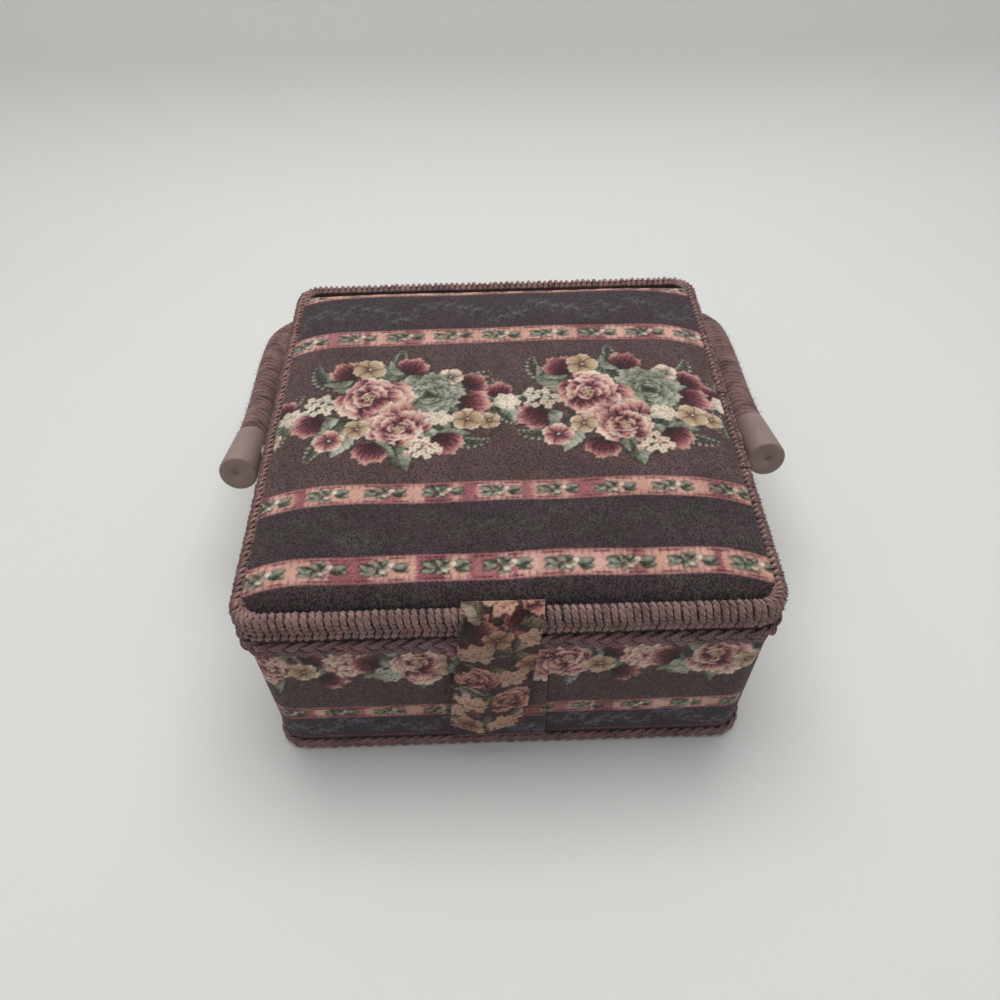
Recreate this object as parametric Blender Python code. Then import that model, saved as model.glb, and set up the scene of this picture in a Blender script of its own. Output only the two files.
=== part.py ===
"""Cloth-covered sewing basket: padded lid, latch flap, cord-wrapped bail handle and lift-out tray.

Metres, +Z up. The origin is the middle of the underside, the front faces -Y and the lid's hinge is at +Y.
"""

import math

import bmesh
import bpy
from mathutils import Matrix, Vector

# Clearances and cuts
SEAT_GAP = 0.0003
CUT_OVERRUN = 0.002

# Round shapes
CORNER_STEPS = 6
ROUND_SIDES = 24
TUBE_RESOLUTION = 2

# Body, measured on the outside of its cloth
BODY_WIDTH = 0.250
BODY_DEPTH = 0.266
BODY_HEIGHT = 0.1017
BODY_DRAW_IN = 0.0035
BODY_CORNER_RADIUS = 0.013
COVER_THICKNESS = 0.001
WALL_THICKNESS = 0.0025
LINING_THICKNESS = 0.001
BASE_CLOTH_THICKNESS = 0.001
BASE_BOARD_THICKNESS = 0.003
RIM_BRAID_HEIGHT = 0.0105
BASE_BRAID_HEIGHT = 0.008
BASE_BRAID_THICKNESS = 0.0025
BASE_BRAID_LIFT = 0.0005
BRAID_ROUNDING_SHARE = 0.35

# Lid, whose cord rim stands this far outside the body's cloth
RIM_OVERHANG = 0.002
LID_HEIGHT = 0.0155
RIM_WIDTH = 0.007
RIM_CORD_THICKNESS = 0.0017
RIM_ROUNDING_SHARE = 0.45
LID_BOARD_THICKNESS = 0.0025
LID_CLOTH_THICKNESS = 0.0008
PAD_EDGE_DROP = 0.0012
PAD_CROWN = 0.0062
PAD_ROUNDNESS = 2.4
PAD_INSET_SHARES = (0.0, 0.012, 0.035, 0.08, 0.16, 0.28, 0.44, 0.62, 0.82)

# Inside of the lid
POCKET_WIDTH = 0.170
POCKET_DEPTH = 0.078
POCKET_THICKNESS = 0.002
POCKET_SETBACK = 0.022
PINCUSHION_RADIUS = 0.023
PINCUSHION_HEIGHT = 0.009
PINCUSHION_FORWARD = 0.062
PINCUSHION_PROFILE_SHARES = ((0.84, 0.0), (0.97, 0.25), (1.0, 0.5), (0.93, 0.75), (0.7, 0.93), (0.3, 1.0))

# Latch flap and the strip of cloth behind it
LATCH_OFFSET = -0.006
LATCH_WIDTH = 0.0375
LATCH_THICKNESS = 0.0016
LATCH_TIP_HEIGHT = 0.0215
LATCH_POINT_DROP = 0.0105
LATCH_BEND_GAP = 0.0015
LATCH_TUCK = 0.0085
STRIP_WIDTH = 0.0475
STRIP_THICKNESS = 0.001
SNAP_RADIUS = 0.007
SNAP_ABOVE_TIP = 0.013

# Hinge straps at the back
STRAP_WIDTH = 0.032
STRAP_SPACING = 0.124
STRAP_THICKNESS = 0.0012
STRAP_REACH = 0.0105
STRAP_BEND_GAP = 0.0012

# Handle, its pivots and its caps
PIVOT_BELOW_BRAID = 0.0003
PIVOT_SETBACK = 0.010
HANDLE_DROOP = math.radians(12)
HANDLE_SIDE_GAP = 0.0195
HANDLE_BULGE = 0.007
HANDLE_SWING_GAP = 0.0365
HANDLE_BEND_RADIUS = 0.043
WRAP_RADIUS = 0.0085
WRAP_GROOVE_SHARE = 0.88
WRAP_RIBS = 172
CORE_RADIUS = 0.005
CORE_STEPS = 96
CAP_LENGTH = 0.039
CAP_SMALL_RADIUS = 0.009
CAP_LARGE_RADIUS = 0.0106
CAP_PIVOT_DEPTH = 0.018
CAP_SOCKET_DEPTH = 0.012
CAP_EDGE = 0.0006
CAP_FACE_ROUNDING = 0.0014
CAP_DIMPLE_RADIUS = 0.0017
CAP_DIMPLE_DEPTH = 0.0009
SPACER_RADIUS = 0.0053
SCREW_RADIUS = 0.002
SCREW_GRIP = 0.004
SCREW_HEAD_RADIUS = 0.0045
SCREW_HEAD_HEIGHT = 0.0024
WASHER_RADIUS = 0.007
WASHER_THICKNESS = 0.0012

# Tray and its ledges
TRAY_HEIGHT = 0.0245
TRAY_LIFT_ROOM = 0.007
TRAY_SIDE_GAP = 0.0028
TRAY_END_GAP = 0.005
TRAY_WALL = 0.0016
TRAY_LIP = 0.0012
TRAY_LIP_HEIGHT = 0.002
TRAY_CORNER_RADIUS = 0.008
TRAY_POCKET_RADIUS = 0.005
TRAY_DRAFT = 0.001
TRAY_POCKET_SHARES = (
    (0.0, 0.36, 0.0, 0.32),
    (0.0, 0.36, 0.32, 0.66),
    (0.0, 0.36, 0.66, 1.0),
    (0.36, 1.0, 0.0, 0.34),
    (0.36, 1.0, 0.34, 1.0),
)
LEDGE_HEIGHT = 0.008
LEDGE_BEARING = 0.006
LEDGE_LENGTH_SHARE = 0.78

# Levels and places that follow from the sizes above
LID_WIDTH = BODY_WIDTH + 2 * RIM_OVERHANG
LID_DEPTH = BODY_DEPTH + 2 * RIM_OVERHANG
LID_CORNER_RADIUS = BODY_CORNER_RADIUS + RIM_OVERHANG
PIVOT_HEIGHT = BODY_HEIGHT - RIM_BRAID_HEIGHT - PIVOT_BELOW_BRAID - SPACER_RADIUS
HANDLE_HALF_WIDTH = LID_WIDTH / 2 + HANDLE_SIDE_GAP + WRAP_RADIUS
PIVOT_HALF_WIDTH = HANDLE_HALF_WIDTH - HANDLE_BULGE
HANDLE_REACH = LID_DEPTH / 2 + PIVOT_SETBACK + HANDLE_SWING_GAP + WRAP_RADIUS
LEDGE_TOP = BODY_HEIGHT - PINCUSHION_HEIGHT - TRAY_LIFT_ROOM - TRAY_HEIGHT
WALL_OUTSET = -(COVER_THICKNESS + SEAT_GAP)
WALL_INSET = WALL_OUTSET - WALL_THICKNESS
LINING_OUTSET = WALL_INSET - SEAT_GAP
LINING_INSET = LINING_OUTSET - LINING_THICKNESS
BASE_BOARD_BOTTOM = BASE_CLOTH_THICKNESS + SEAT_GAP
FLOOR_LEVEL = BASE_BOARD_BOTTOM + BASE_BOARD_THICKNESS + SEAT_GAP
LINING_BOTTOM = FLOOR_LEVEL + LINING_THICKNESS + SEAT_GAP
LID_BOTTOM = BODY_HEIGHT + SEAT_GAP
LID_TOP = LID_BOTTOM + LID_HEIGHT
LID_BOARD_BOTTOM = LID_BOTTOM + LINING_THICKNESS + SEAT_GAP
LID_BOARD_TOP = LID_BOARD_BOTTOM + LID_BOARD_THICKNESS
PAD_BOTTOM = LID_BOARD_TOP + SEAT_GAP
PAD_EDGE_LEVEL = LID_TOP - PAD_EDGE_DROP
FRAME_INSET = RIM_CORD_THICKNESS + SEAT_GAP
COVER_INSET = RIM_WIDTH + SEAT_GAP
FLAP_BACK = -(LID_DEPTH / 2 + SEAT_GAP)
FLAP_MIDDLE = FLAP_BACK - LATCH_THICKNESS / 2
LATCH_AXIS_HEIGHT = LID_TOP
HINGE_AXIS_HEIGHT = (BODY_HEIGHT + LID_BOTTOM) / 2
SNAP_HEIGHT = LATCH_TIP_HEIGHT + SNAP_ABOVE_TIP
SCREW_HOLE_RADIUS = SCREW_RADIUS + SEAT_GAP

# Colour, roughness and metallic value of each material
MATERIALS = {
    "printed_cloth": ((0.105, 0.070, 0.066), 0.88, 0.0),
    "plain_cloth": ((0.160, 0.100, 0.095), 0.90, 0.0),
    "lining_cloth": ((0.520, 0.380, 0.350), 0.80, 0.0),
    "cord": ((0.230, 0.150, 0.145), 0.92, 0.0),
    "board": ((0.430, 0.340, 0.240), 0.85, 0.0),
    "foam": ((0.780, 0.740, 0.640), 0.95, 0.0),
    "rod": ((0.520, 0.370, 0.210), 0.60, 0.0),
    "cap_plastic": ((0.250, 0.180, 0.170), 0.50, 0.0),
    "clear_plastic": ((0.550, 0.580, 0.530), 0.15, 0.0),
    "tray_plastic": ((0.720, 0.620, 0.560), 0.35, 0.0),
    "steel": ((0.560, 0.560, 0.550), 0.32, 1.0),
}


def clear_scene():
    for obj in list(bpy.data.objects):
        bpy.data.objects.remove(obj, do_unlink=True)


def material(name, look):
    """A Principled material of its own for one piece."""
    colour, roughness, metallic = MATERIALS[look]
    made = bpy.data.materials.new(name)
    made.use_nodes = True
    shader = made.node_tree.nodes["Principled BSDF"]
    shader.inputs["Base Color"].default_value = (*colour, 1)
    shader.inputs["Roughness"].default_value = roughness
    shader.inputs["Metallic"].default_value = metallic
    return made


def pivot_empty(name, place):
    """An empty on a joint's axis, which carries the pieces that turn or slide there."""
    empty = bpy.data.objects.new(name, None)
    empty.location = place
    bpy.context.collection.objects.link(empty)
    return empty


def add_piece(name, mesh, look, parent=None):
    """Turns a bmesh in world coordinates into an object, placed under its parent empty where it has one."""
    data = bpy.data.meshes.new(name)
    bmesh.ops.recalc_face_normals(mesh, faces=mesh.faces)
    if parent:
        bmesh.ops.translate(mesh, vec=-parent.location, verts=mesh.verts)
    mesh.to_mesh(data)
    mesh.free()
    data.shade_smooth()
    data.set_sharp_from_angle(angle=math.radians(35))
    data.materials.append(material(name, look))
    obj = bpy.data.objects.new(name, data)
    obj.parent = parent
    bpy.context.collection.objects.link(obj)
    return obj


def outline(half_x, half_y, radius, z, centre=(0, 0)):
    """Points round a rectangle with round corners, at height z."""
    points = []
    for corner, (x_side, y_side) in enumerate(((1, 1), (-1, 1), (-1, -1), (1, -1))):
        for step in range(CORNER_STEPS + 1):
            angle = (corner + step / CORNER_STEPS) * math.pi / 2
            x = centre[0] + x_side * (half_x - radius) + radius * math.cos(angle)
            y = centre[1] + y_side * (half_y - radius) + radius * math.sin(angle)
            points.append(Vector((x, y, z)))
    return points


def lofted(rings, hoop=False, mesh=None):
    """A closed skin through rings of as many points. A hoop joins its ends; otherwise both are capped."""
    mesh = mesh or bmesh.new()
    loops = [[mesh.verts.new(point) for point in ring] for ring in rings]
    for lower, upper in zip(loops, loops[1:] + (loops[:1] if hoop else [])):
        for index, corner in enumerate(lower):
            after = (index + 1) % len(lower)
            mesh.faces.new((corner, lower[after], upper[after], upper[index]))
    if not hoop:
        mesh.faces.new(reversed(loops[0]))
        mesh.faces.new(loops[-1])
    return mesh


def turned(profile, place, axis):
    """Spins (radius, height) points round an axis that starts at place. The ends lie on the axis."""
    mesh = bmesh.new()
    corners = [mesh.verts.new((radius, 0, height)) for radius, height in profile]
    edges = [mesh.edges.new(pair) for pair in zip(corners, corners[1:])]
    spun(mesh, corners + edges, place, axis)
    return mesh


def turned_ring(profile, place, axis):
    """Spins a closed outline of (radius, height) points that keeps clear of the axis."""
    mesh = bmesh.new()
    corners = [mesh.verts.new((radius, 0, height)) for radius, height in profile]
    edges = [mesh.edges.new(pair) for pair in zip(corners, corners[1:] + corners[:1])]
    spun(mesh, corners + edges, place, axis)
    return mesh


def spun(mesh, geometry, place, axis):
    bmesh.ops.spin(
        mesh,
        geom=geometry,
        cent=(0, 0, 0),
        axis=(0, 0, 1),
        angle=math.tau,
        steps=ROUND_SIDES,
        use_merge=True,
    )
    bmesh.ops.remove_doubles(mesh, verts=mesh.verts, dist=SEAT_GAP / 100)
    turn = Vector((0, 0, 1)).rotation_difference(Vector(axis)).to_matrix().to_4x4()
    bmesh.ops.transform(mesh, matrix=Matrix.Translation(place) @ turn, verts=mesh.verts)


def box(low, high):
    """A block between two opposite corners."""
    return lofted([box_ring(low, high, z) for z in (low[2], high[2])])


def box_ring(low, high, z):
    corners = ((low[0], low[1]), (high[0], low[1]), (high[0], high[1]), (low[0], high[1]))
    return [Vector((x, y, z)) for x, y in corners]


def cut(obj, cutter):
    """Takes the cutter's shape out of a piece."""
    modifier = obj.modifiers.new("cut", "BOOLEAN")
    modifier.operation = "DIFFERENCE"
    modifier.solver = "EXACT"
    modifier.object = cutter


def as_cutter(obj):
    obj.hide_render = True
    obj.display_type = "WIRE"
    return obj


def body_half(z):
    """Half the body's width and depth over its cloth at height z."""
    draw = BODY_DRAW_IN * (1 - z / BODY_HEIGHT)
    return BODY_WIDTH / 2 - draw, BODY_DEPTH / 2 - draw


def body_ring(z, outset):
    """A ring round the body at height z, this far outside the face of its cloth."""
    half_x, half_y = body_half(z)
    return outline(half_x + outset, half_y + outset, BODY_CORNER_RADIUS + outset, z)


def lid_ring(z, inset):
    """A ring round the lid at height z, this far inside its rim's outer face."""
    return outline(LID_WIDTH / 2 - inset, LID_DEPTH / 2 - inset, LID_CORNER_RADIUS - inset, z)


def body_wall(name, bottom, top, outer, inner, look):
    outside = [body_ring(bottom, outer), body_ring(top, outer)]
    rings = outside + [body_ring(top, inner), body_ring(bottom, inner)]
    return add_piece(name, lofted(rings, hoop=True), look)


def body_plate(name, bottom, top, outset, look):
    rings = [body_ring(bottom, outset), body_ring(top, outset)]
    return add_piece(name, lofted(rings), look)


def add_walls(screw_cutter):
    """The board walls between their outer cloth and their lining, pierced for the pivot screws."""
    walls = (
        body_wall("body_cover", BASE_BOARD_BOTTOM, BODY_HEIGHT, 0, -COVER_THICKNESS, "printed_cloth"),
        body_wall("wall_board", FLOOR_LEVEL, BODY_HEIGHT, WALL_OUTSET, WALL_INSET, "board"),
        body_wall("body_lining", LINING_BOTTOM, BODY_HEIGHT, LINING_OUTSET, LINING_INSET, "lining_cloth"),
    )
    for wall in walls:
        cut(wall, screw_cutter)


def add_floor():
    body_plate("base_cloth", 0, BASE_CLOTH_THICKNESS, 0, "plain_cloth")
    board_top = BASE_BOARD_BOTTOM + BASE_BOARD_THICKNESS
    body_plate("base_board", BASE_BOARD_BOTTOM, board_top, WALL_OUTSET, "board")
    lining_top = FLOOR_LEVEL + LINING_THICKNESS
    body_plate("floor_lining", FLOOR_LEVEL, lining_top, LINING_OUTSET, "lining_cloth")


def add_rim_braid():
    """The plait under the lid. Its outer face stands in line with the lid's rim."""
    bottom = BODY_HEIGHT - RIM_BRAID_HEIGHT
    rounding = BRAID_ROUNDING_SHARE * RIM_OVERHANG
    rings = [
        body_ring(BODY_HEIGHT, SEAT_GAP),
        body_ring(bottom, SEAT_GAP),
        lid_ring(bottom, rounding),
        lid_ring(bottom + rounding, 0),
        lid_ring(BODY_HEIGHT - rounding, 0),
        lid_ring(BODY_HEIGHT, rounding),
    ]
    add_piece("rim_braid", lofted(rings, hoop=True), "cord")


def add_base_braid():
    """The plait round the foot, just clear of the surface under the basket."""
    top = BASE_BRAID_LIFT + BASE_BRAID_HEIGHT
    rounding = BRAID_ROUNDING_SHARE * BASE_BRAID_THICKNESS
    outer = SEAT_GAP + BASE_BRAID_THICKNESS
    rings = [
        body_ring(top, SEAT_GAP),
        body_ring(BASE_BRAID_LIFT, SEAT_GAP),
        body_ring(BASE_BRAID_LIFT, outer - rounding),
        body_ring(BASE_BRAID_LIFT + rounding, outer),
        body_ring(top - rounding, outer),
        body_ring(top, outer - rounding),
    ]
    add_piece("base_braid", lofted(rings, hoop=True), "cord")


def front_face(z, outset):
    """The Y of the body's front at height z, this far in front of its cloth."""
    return -(body_half(z)[1] + outset)


def add_front_strip():
    """The strip of cloth down the front between the two plaits."""
    low = BASE_BRAID_LIFT + BASE_BRAID_HEIGHT + SEAT_GAP
    high = BODY_HEIGHT - RIM_BRAID_HEIGHT - SEAT_GAP
    left = LATCH_OFFSET - STRIP_WIDTH / 2
    right = LATCH_OFFSET + STRIP_WIDTH / 2
    outer = SEAT_GAP + STRIP_THICKNESS
    rings = [box_ring((left, front_face(z, outer)), (right, front_face(z, SEAT_GAP)), z) for z in (low, high)]
    add_piece("front_strip", lofted(rings), "printed_cloth")


def disc_profile(radius, length):
    return ((0, 0), (radius, 0), (radius, length), (0, length))


def add_snap(latch_axis):
    """The two discs of the magnetic snap, which share the room between the strip and the flap."""
    strip_face = front_face(SNAP_HEIGHT + SNAP_RADIUS, SEAT_GAP + STRIP_THICKNESS)
    disc = (strip_face - FLAP_BACK - 3 * SEAT_GAP) / 2
    socket_back = Vector((LATCH_OFFSET, strip_face - SEAT_GAP, SNAP_HEIGHT))
    stud_back = Vector((LATCH_OFFSET, FLAP_BACK + SEAT_GAP, SNAP_HEIGHT))
    add_piece("snap_socket", turned(disc_profile(SNAP_RADIUS, disc), socket_back, (0, -1, 0)), "steel")
    add_piece("snap_stud", turned(disc_profile(SNAP_RADIUS, disc), stud_back, (0, 1, 0)), "steel", latch_axis)


def add_latch(latch_axis, lid_axis):
    """The hanging flap, and the short piece of the same cloth that is fixed on the lid's rim."""
    left = LATCH_OFFSET - LATCH_WIDTH / 2
    right = LATCH_OFFSET + LATCH_WIDTH / 2
    top = LATCH_AXIS_HEIGHT - LATCH_BEND_GAP
    shoulder = LATCH_TIP_HEIGHT + LATCH_POINT_DROP
    shape = ((left, top), (left, shoulder), (LATCH_OFFSET, LATCH_TIP_HEIGHT), (right, shoulder), (right, top))
    rings = [[Vector((x, y, z)) for x, z in shape] for y in (FLAP_BACK, FLAP_BACK - LATCH_THICKNESS)]
    add_piece("latch_flap", lofted(rings), "printed_cloth", latch_axis)
    low = (left, FLAP_MIDDLE + LATCH_BEND_GAP, LID_TOP + SEAT_GAP)
    high = (right, FLAP_MIDDLE + LATCH_TUCK, LID_TOP + SEAT_GAP + LATCH_THICKNESS)
    add_piece("latch_anchor", box(low, high), "printed_cloth", lid_axis)


def add_hinge_straps(lid_axis):
    """Two straps at the back, each bent on the hinge axis: half on the body's rim and half on the lid's."""
    inner = LID_DEPTH / 2 + SEAT_GAP
    outer = inner + STRAP_THICKNESS
    for side, sign in (("left", -1), ("right", 1)):
        left = sign * STRAP_SPACING / 2 - STRAP_WIDTH / 2
        right = left + STRAP_WIDTH
        top = HINGE_AXIS_HEIGHT - STRAP_BEND_GAP
        body_half_strap = box((left, inner, top - STRAP_REACH), (right, outer, top))
        add_piece(f"hinge_strap_{side}_body", body_half_strap, "plain_cloth")
        bottom = HINGE_AXIS_HEIGHT + STRAP_BEND_GAP
        lid_half_strap = box((left, inner, bottom), (right, outer, bottom + STRAP_REACH))
        add_piece(f"hinge_strap_{side}_lid", lid_half_strap, "plain_cloth", lid_axis)


def add_lid_frame(lid_axis):
    """The hoop that stiffens the lid and the stitched cord over its top and its outer side."""
    frame_top = LID_TOP - FRAME_INSET
    frame = [
        lid_ring(LID_BOTTOM, FRAME_INSET),
        lid_ring(frame_top, FRAME_INSET),
        lid_ring(frame_top, RIM_WIDTH),
        lid_ring(LID_BOTTOM, RIM_WIDTH),
    ]
    add_piece("lid_frame", lofted(frame, hoop=True), "board", lid_axis)
    rounding = RIM_ROUNDING_SHARE * RIM_CORD_THICKNESS
    cord = [
        lid_ring(LID_BOTTOM, rounding),
        lid_ring(LID_BOTTOM + rounding, 0),
        lid_ring(LID_TOP - RIM_CORD_THICKNESS, 0),
        lid_ring(LID_TOP - rounding, rounding),
        lid_ring(LID_TOP, RIM_CORD_THICKNESS),
        lid_ring(LID_TOP, RIM_WIDTH - rounding),
        lid_ring(LID_TOP - rounding, RIM_WIDTH),
        lid_ring(LID_TOP - RIM_CORD_THICKNESS, RIM_WIDTH),
        lid_ring(LID_TOP - RIM_CORD_THICKNESS, RIM_CORD_THICKNESS),
        lid_ring(LID_BOTTOM, RIM_CORD_THICKNESS),
    ]
    add_piece("lid_rim_cord", lofted(cord, hoop=True), "cord", lid_axis)


def pad_rings(edge_inset, drop):
    """Rings over the crowned pad from its edge inwards, this far below the face of its cloth."""
    rings = []
    middle = min(LID_WIDTH, LID_DEPTH) / 2
    for share in PAD_INSET_SHARES:
        rise = PAD_CROWN * (1 - (1 - share) ** PAD_ROUNDNESS)
        inset = edge_inset + share * (middle - edge_inset)
        half_x = LID_WIDTH / 2 - inset
        half_y = LID_DEPTH / 2 - inset
        tight = LID_CORNER_RADIUS - edge_inset
        radius = tight + share * (min(half_x, half_y) / 2 - tight)
        rings.append(outline(half_x, half_y, radius, PAD_EDGE_LEVEL + rise - drop))
    return rings


def add_lid_top(lid_axis):
    """The lid's board, the foam pad on it, and the cloth drawn over the pad and down inside the frame."""
    board = [lid_ring(LID_BOARD_BOTTOM, COVER_INSET), lid_ring(LID_BOARD_TOP, COVER_INSET)]
    add_piece("lid_board", lofted(board), "board", lid_axis)
    inner = COVER_INSET + LID_CLOTH_THICKNESS
    face = pad_rings(COVER_INSET, 0)
    back = pad_rings(inner, LID_CLOTH_THICKNESS)
    skirt = [lid_ring(PAD_BOTTOM, inner), lid_ring(PAD_BOTTOM, COVER_INSET)]
    add_piece("lid_cover", lofted(back[::-1] + skirt + face), "printed_cloth", lid_axis)
    pad_inset = inner + SEAT_GAP
    top = pad_rings(pad_inset, LID_CLOTH_THICKNESS + SEAT_GAP)
    add_piece("lid_pad", lofted([lid_ring(PAD_BOTTOM, pad_inset)] + top), "foam", lid_axis)


def add_lid_inside(lid_axis):
    """The lid's lining, with a flat pocket and a small pincushion stitched under it."""
    lining = [lid_ring(LID_BOTTOM, COVER_INSET), lid_ring(LID_BOTTOM + LINING_THICKNESS, COVER_INSET)]
    add_piece("lid_lining", lofted(lining), "lining_cloth", lid_axis)
    hung = LID_BOTTOM - SEAT_GAP
    low = (-POCKET_WIDTH / 2, POCKET_SETBACK, hung - POCKET_THICKNESS)
    high = (POCKET_WIDTH / 2, POCKET_SETBACK + POCKET_DEPTH, hung)
    add_piece("lid_pocket", box(low, high), "lining_cloth", lid_axis)
    profile = [(PINCUSHION_RADIUS * r, PINCUSHION_HEIGHT * h) for r, h in PINCUSHION_PROFILE_SHARES]
    profile = [(0, 0), *profile, (0, PINCUSHION_HEIGHT)]
    cushion = turned(profile, Vector((0, -PINCUSHION_FORWARD, hung)), (0, 0, -1))
    add_piece("pincushion", cushion, "plain_cloth", lid_axis)


def route_length():
    leg = HANDLE_REACH - HANDLE_BEND_RADIUS
    bar = 2 * (HANDLE_HALF_WIDTH - HANDLE_BEND_RADIUS)
    return leg, HANDLE_BEND_RADIUS * math.pi / 2, bar


def drooped(x, along):
    """A point of the handle this far from the pivots' axis, as the handle hangs back behind the basket."""
    back = Vector((0, math.cos(HANDLE_DROOP), -math.sin(HANDLE_DROOP)))
    return Vector((x, PIVOT_SETBACK, PIVOT_HEIGHT)) + along * back


def leg_half_width(along, leg):
    """Half the handle's width at a place on its legs, which bow out between the caps and the bends."""
    share = min(max((along - CAP_PIVOT_DEPTH) / (leg - CAP_PIVOT_DEPTH), 0), 1)
    return PIVOT_HALF_WIDTH + HANDLE_BULGE * share * share * (3 - 2 * share)


def route_point(distance):
    """A point on the handle's line, measured from the left pivot: leg, bend, bar, bend and leg."""
    leg, bend, bar = route_length()
    whole = 2 * (leg + bend) + bar
    side = -1 if distance < whole / 2 else 1
    along = min(distance, whole - distance)
    if along <= leg:
        return drooped(side * leg_half_width(along, leg), along)
    if along >= leg + bend:
        left_over = whole / 2 - along
        return drooped(side * left_over, HANDLE_REACH)
    angle = (along - leg) / HANDLE_BEND_RADIUS
    x = HANDLE_HALF_WIDTH - HANDLE_BEND_RADIUS * (1 - math.cos(angle))
    return drooped(side * x, leg + HANDLE_BEND_RADIUS * math.sin(angle))


def route(start, steps):
    """Evenly spaced points along the handle, from this far past the left pivot to the right one."""
    leg, bend, bar = route_length()
    whole = 2 * (leg + bend) + bar
    return [route_point(start + (whole - 2 * start) * step / steps) for step in range(steps + 1)]


def tube(points, radius, shares=None):
    """A bmesh tube along points. Shares scale its radius at each point."""
    curve = bpy.data.curves.new("tube", "CURVE")
    curve.dimensions = "3D"
    curve.bevel_depth = radius
    curve.bevel_resolution = TUBE_RESOLUTION
    curve.use_fill_caps = True
    spline = curve.splines.new("POLY")
    spline.points.add(len(points) - 1)
    for index, point in enumerate(points):
        spline.points[index].co = (*point, 1)
        spline.points[index].radius = shares[index] if shares else 1
    guide = bpy.data.objects.new("tube", curve)
    mesh = bmesh.new()
    mesh.from_mesh(bpy.data.meshes.new_from_object(guide))
    bpy.data.objects.remove(guide)
    bmesh.ops.remove_doubles(mesh, verts=mesh.verts, dist=SEAT_GAP / 100)
    return mesh


def add_handle_rod(handle_axis):
    """The bent rod, whose ends sit in the caps, and the cord wound round it between the caps."""
    socket_floor = CAP_PIVOT_DEPTH - CAP_SOCKET_DEPTH + SEAT_GAP
    add_piece("handle_core", tube(route(socket_floor, CORE_STEPS), CORE_RADIUS), "rod", handle_axis)
    wrap_end = CAP_PIVOT_DEPTH + SEAT_GAP
    shares = [1 if step % 2 else WRAP_GROOVE_SHARE for step in range(2 * WRAP_RIBS + 1)]
    wrap = tube(route(wrap_end, 2 * WRAP_RIBS), WRAP_RADIUS, shares)
    wrap = add_piece("handle_wrap", wrap, "cord", handle_axis)
    bore = tube(route(socket_floor, CORE_STEPS), CORE_RADIUS + SEAT_GAP)
    cut(wrap, as_cutter(add_piece("wrap_bore", bore, "rod", handle_axis)))


def cap_radius(depth):
    """The cap's radius at this depth from its small end."""
    return CAP_SMALL_RADIUS + (CAP_LARGE_RADIUS - CAP_SMALL_RADIUS) * depth / CAP_LENGTH


def add_end_caps(handle_axis, screw_cutter):
    """Flared caps with a socket for the rod, a dimple in the end face and a cross hole for the screw."""
    socket = CORE_RADIUS + SEAT_GAP
    round_from = CAP_LENGTH - CAP_FACE_ROUNDING
    bevel = CAP_FACE_ROUNDING * (1 - math.sqrt(1 / 2))
    profile = (
        (0, CAP_SOCKET_DEPTH),
        (socket, CAP_SOCKET_DEPTH),
        (socket, 0),
        (CAP_SMALL_RADIUS - CAP_EDGE, 0),
        (cap_radius(CAP_EDGE), CAP_EDGE),
        (cap_radius(round_from), round_from),
        (CAP_LARGE_RADIUS - bevel, CAP_LENGTH - bevel),
        (CAP_LARGE_RADIUS - CAP_FACE_ROUNDING, CAP_LENGTH),
        (CAP_DIMPLE_RADIUS, CAP_LENGTH),
        (0, CAP_LENGTH - CAP_DIMPLE_DEPTH),
    )
    forward = drooped(0, 0) - drooped(0, 1)
    for side, sign in (("left", -1), ("right", 1)):
        small_end = drooped(sign * PIVOT_HALF_WIDTH, CAP_PIVOT_DEPTH)
        cap = add_piece(f"end_cap_{side}", turned(profile, small_end, forward), "cap_plastic", handle_axis)
        cut(cap, screw_cutter)


def ring_profile(bore, radius, start, end):
    return ((bore, start), (radius, start), (radius, end), (bore, end))


def add_pivots():
    """On each side: a clear collar outside the wall, a washer inside it, and the screw into the cap."""
    cap_face = PIVOT_HALF_WIDTH - cap_radius(CAP_PIVOT_DEPTH + SPACER_RADIUS)
    spacer_start = body_half(PIVOT_HEIGHT + SPACER_RADIUS)[0] + SEAT_GAP
    spacer_end = cap_face - SEAT_GAP
    washer_end = washer_face()
    washer_start = washer_end - WASHER_THICKNESS
    head_end = washer_start - SEAT_GAP
    head_start = head_end - SCREW_HEAD_HEIGHT
    rounding = SCREW_HEAD_HEIGHT / 3
    tip = PIVOT_HALF_WIDTH + SCREW_GRIP
    screw = (
        (0, head_start),
        (SCREW_HEAD_RADIUS - rounding, head_start),
        (SCREW_HEAD_RADIUS, head_start + rounding),
        (SCREW_HEAD_RADIUS, head_end),
        (SCREW_RADIUS, head_end),
        (SCREW_RADIUS, tip),
        (0, tip),
    )
    spacer = ring_profile(SCREW_HOLE_RADIUS, SPACER_RADIUS, spacer_start, spacer_end)
    washer = ring_profile(SCREW_HOLE_RADIUS, WASHER_RADIUS, washer_start, washer_end)
    middle = drooped(0, 0)
    for side, sign in (("left", -1), ("right", 1)):
        outward = (sign, 0, 0)
        add_piece(f"pivot_spacer_{side}", turned_ring(spacer, middle, outward), "clear_plastic")
        add_piece(f"pivot_washer_{side}", turned_ring(washer, middle, outward), "steel")
        add_piece(f"pivot_screw_{side}", turned(screw, middle, outward), "steel")


def washer_face():
    """How far out the washers lie, against the lining of the leaning wall."""
    return body_half(PIVOT_HEIGHT - WASHER_RADIUS)[0] + LINING_INSET - SEAT_GAP


def screw_hole_cutter():
    """One rod through both walls and into both caps."""
    reach = PIVOT_HALF_WIDTH + SCREW_GRIP + SEAT_GAP
    rod = turned(disc_profile(SCREW_HOLE_RADIUS, 2 * reach), drooped(-reach, 0), (1, 0, 0))
    return as_cutter(add_piece("screw_holes", rod, "steel"))


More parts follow.
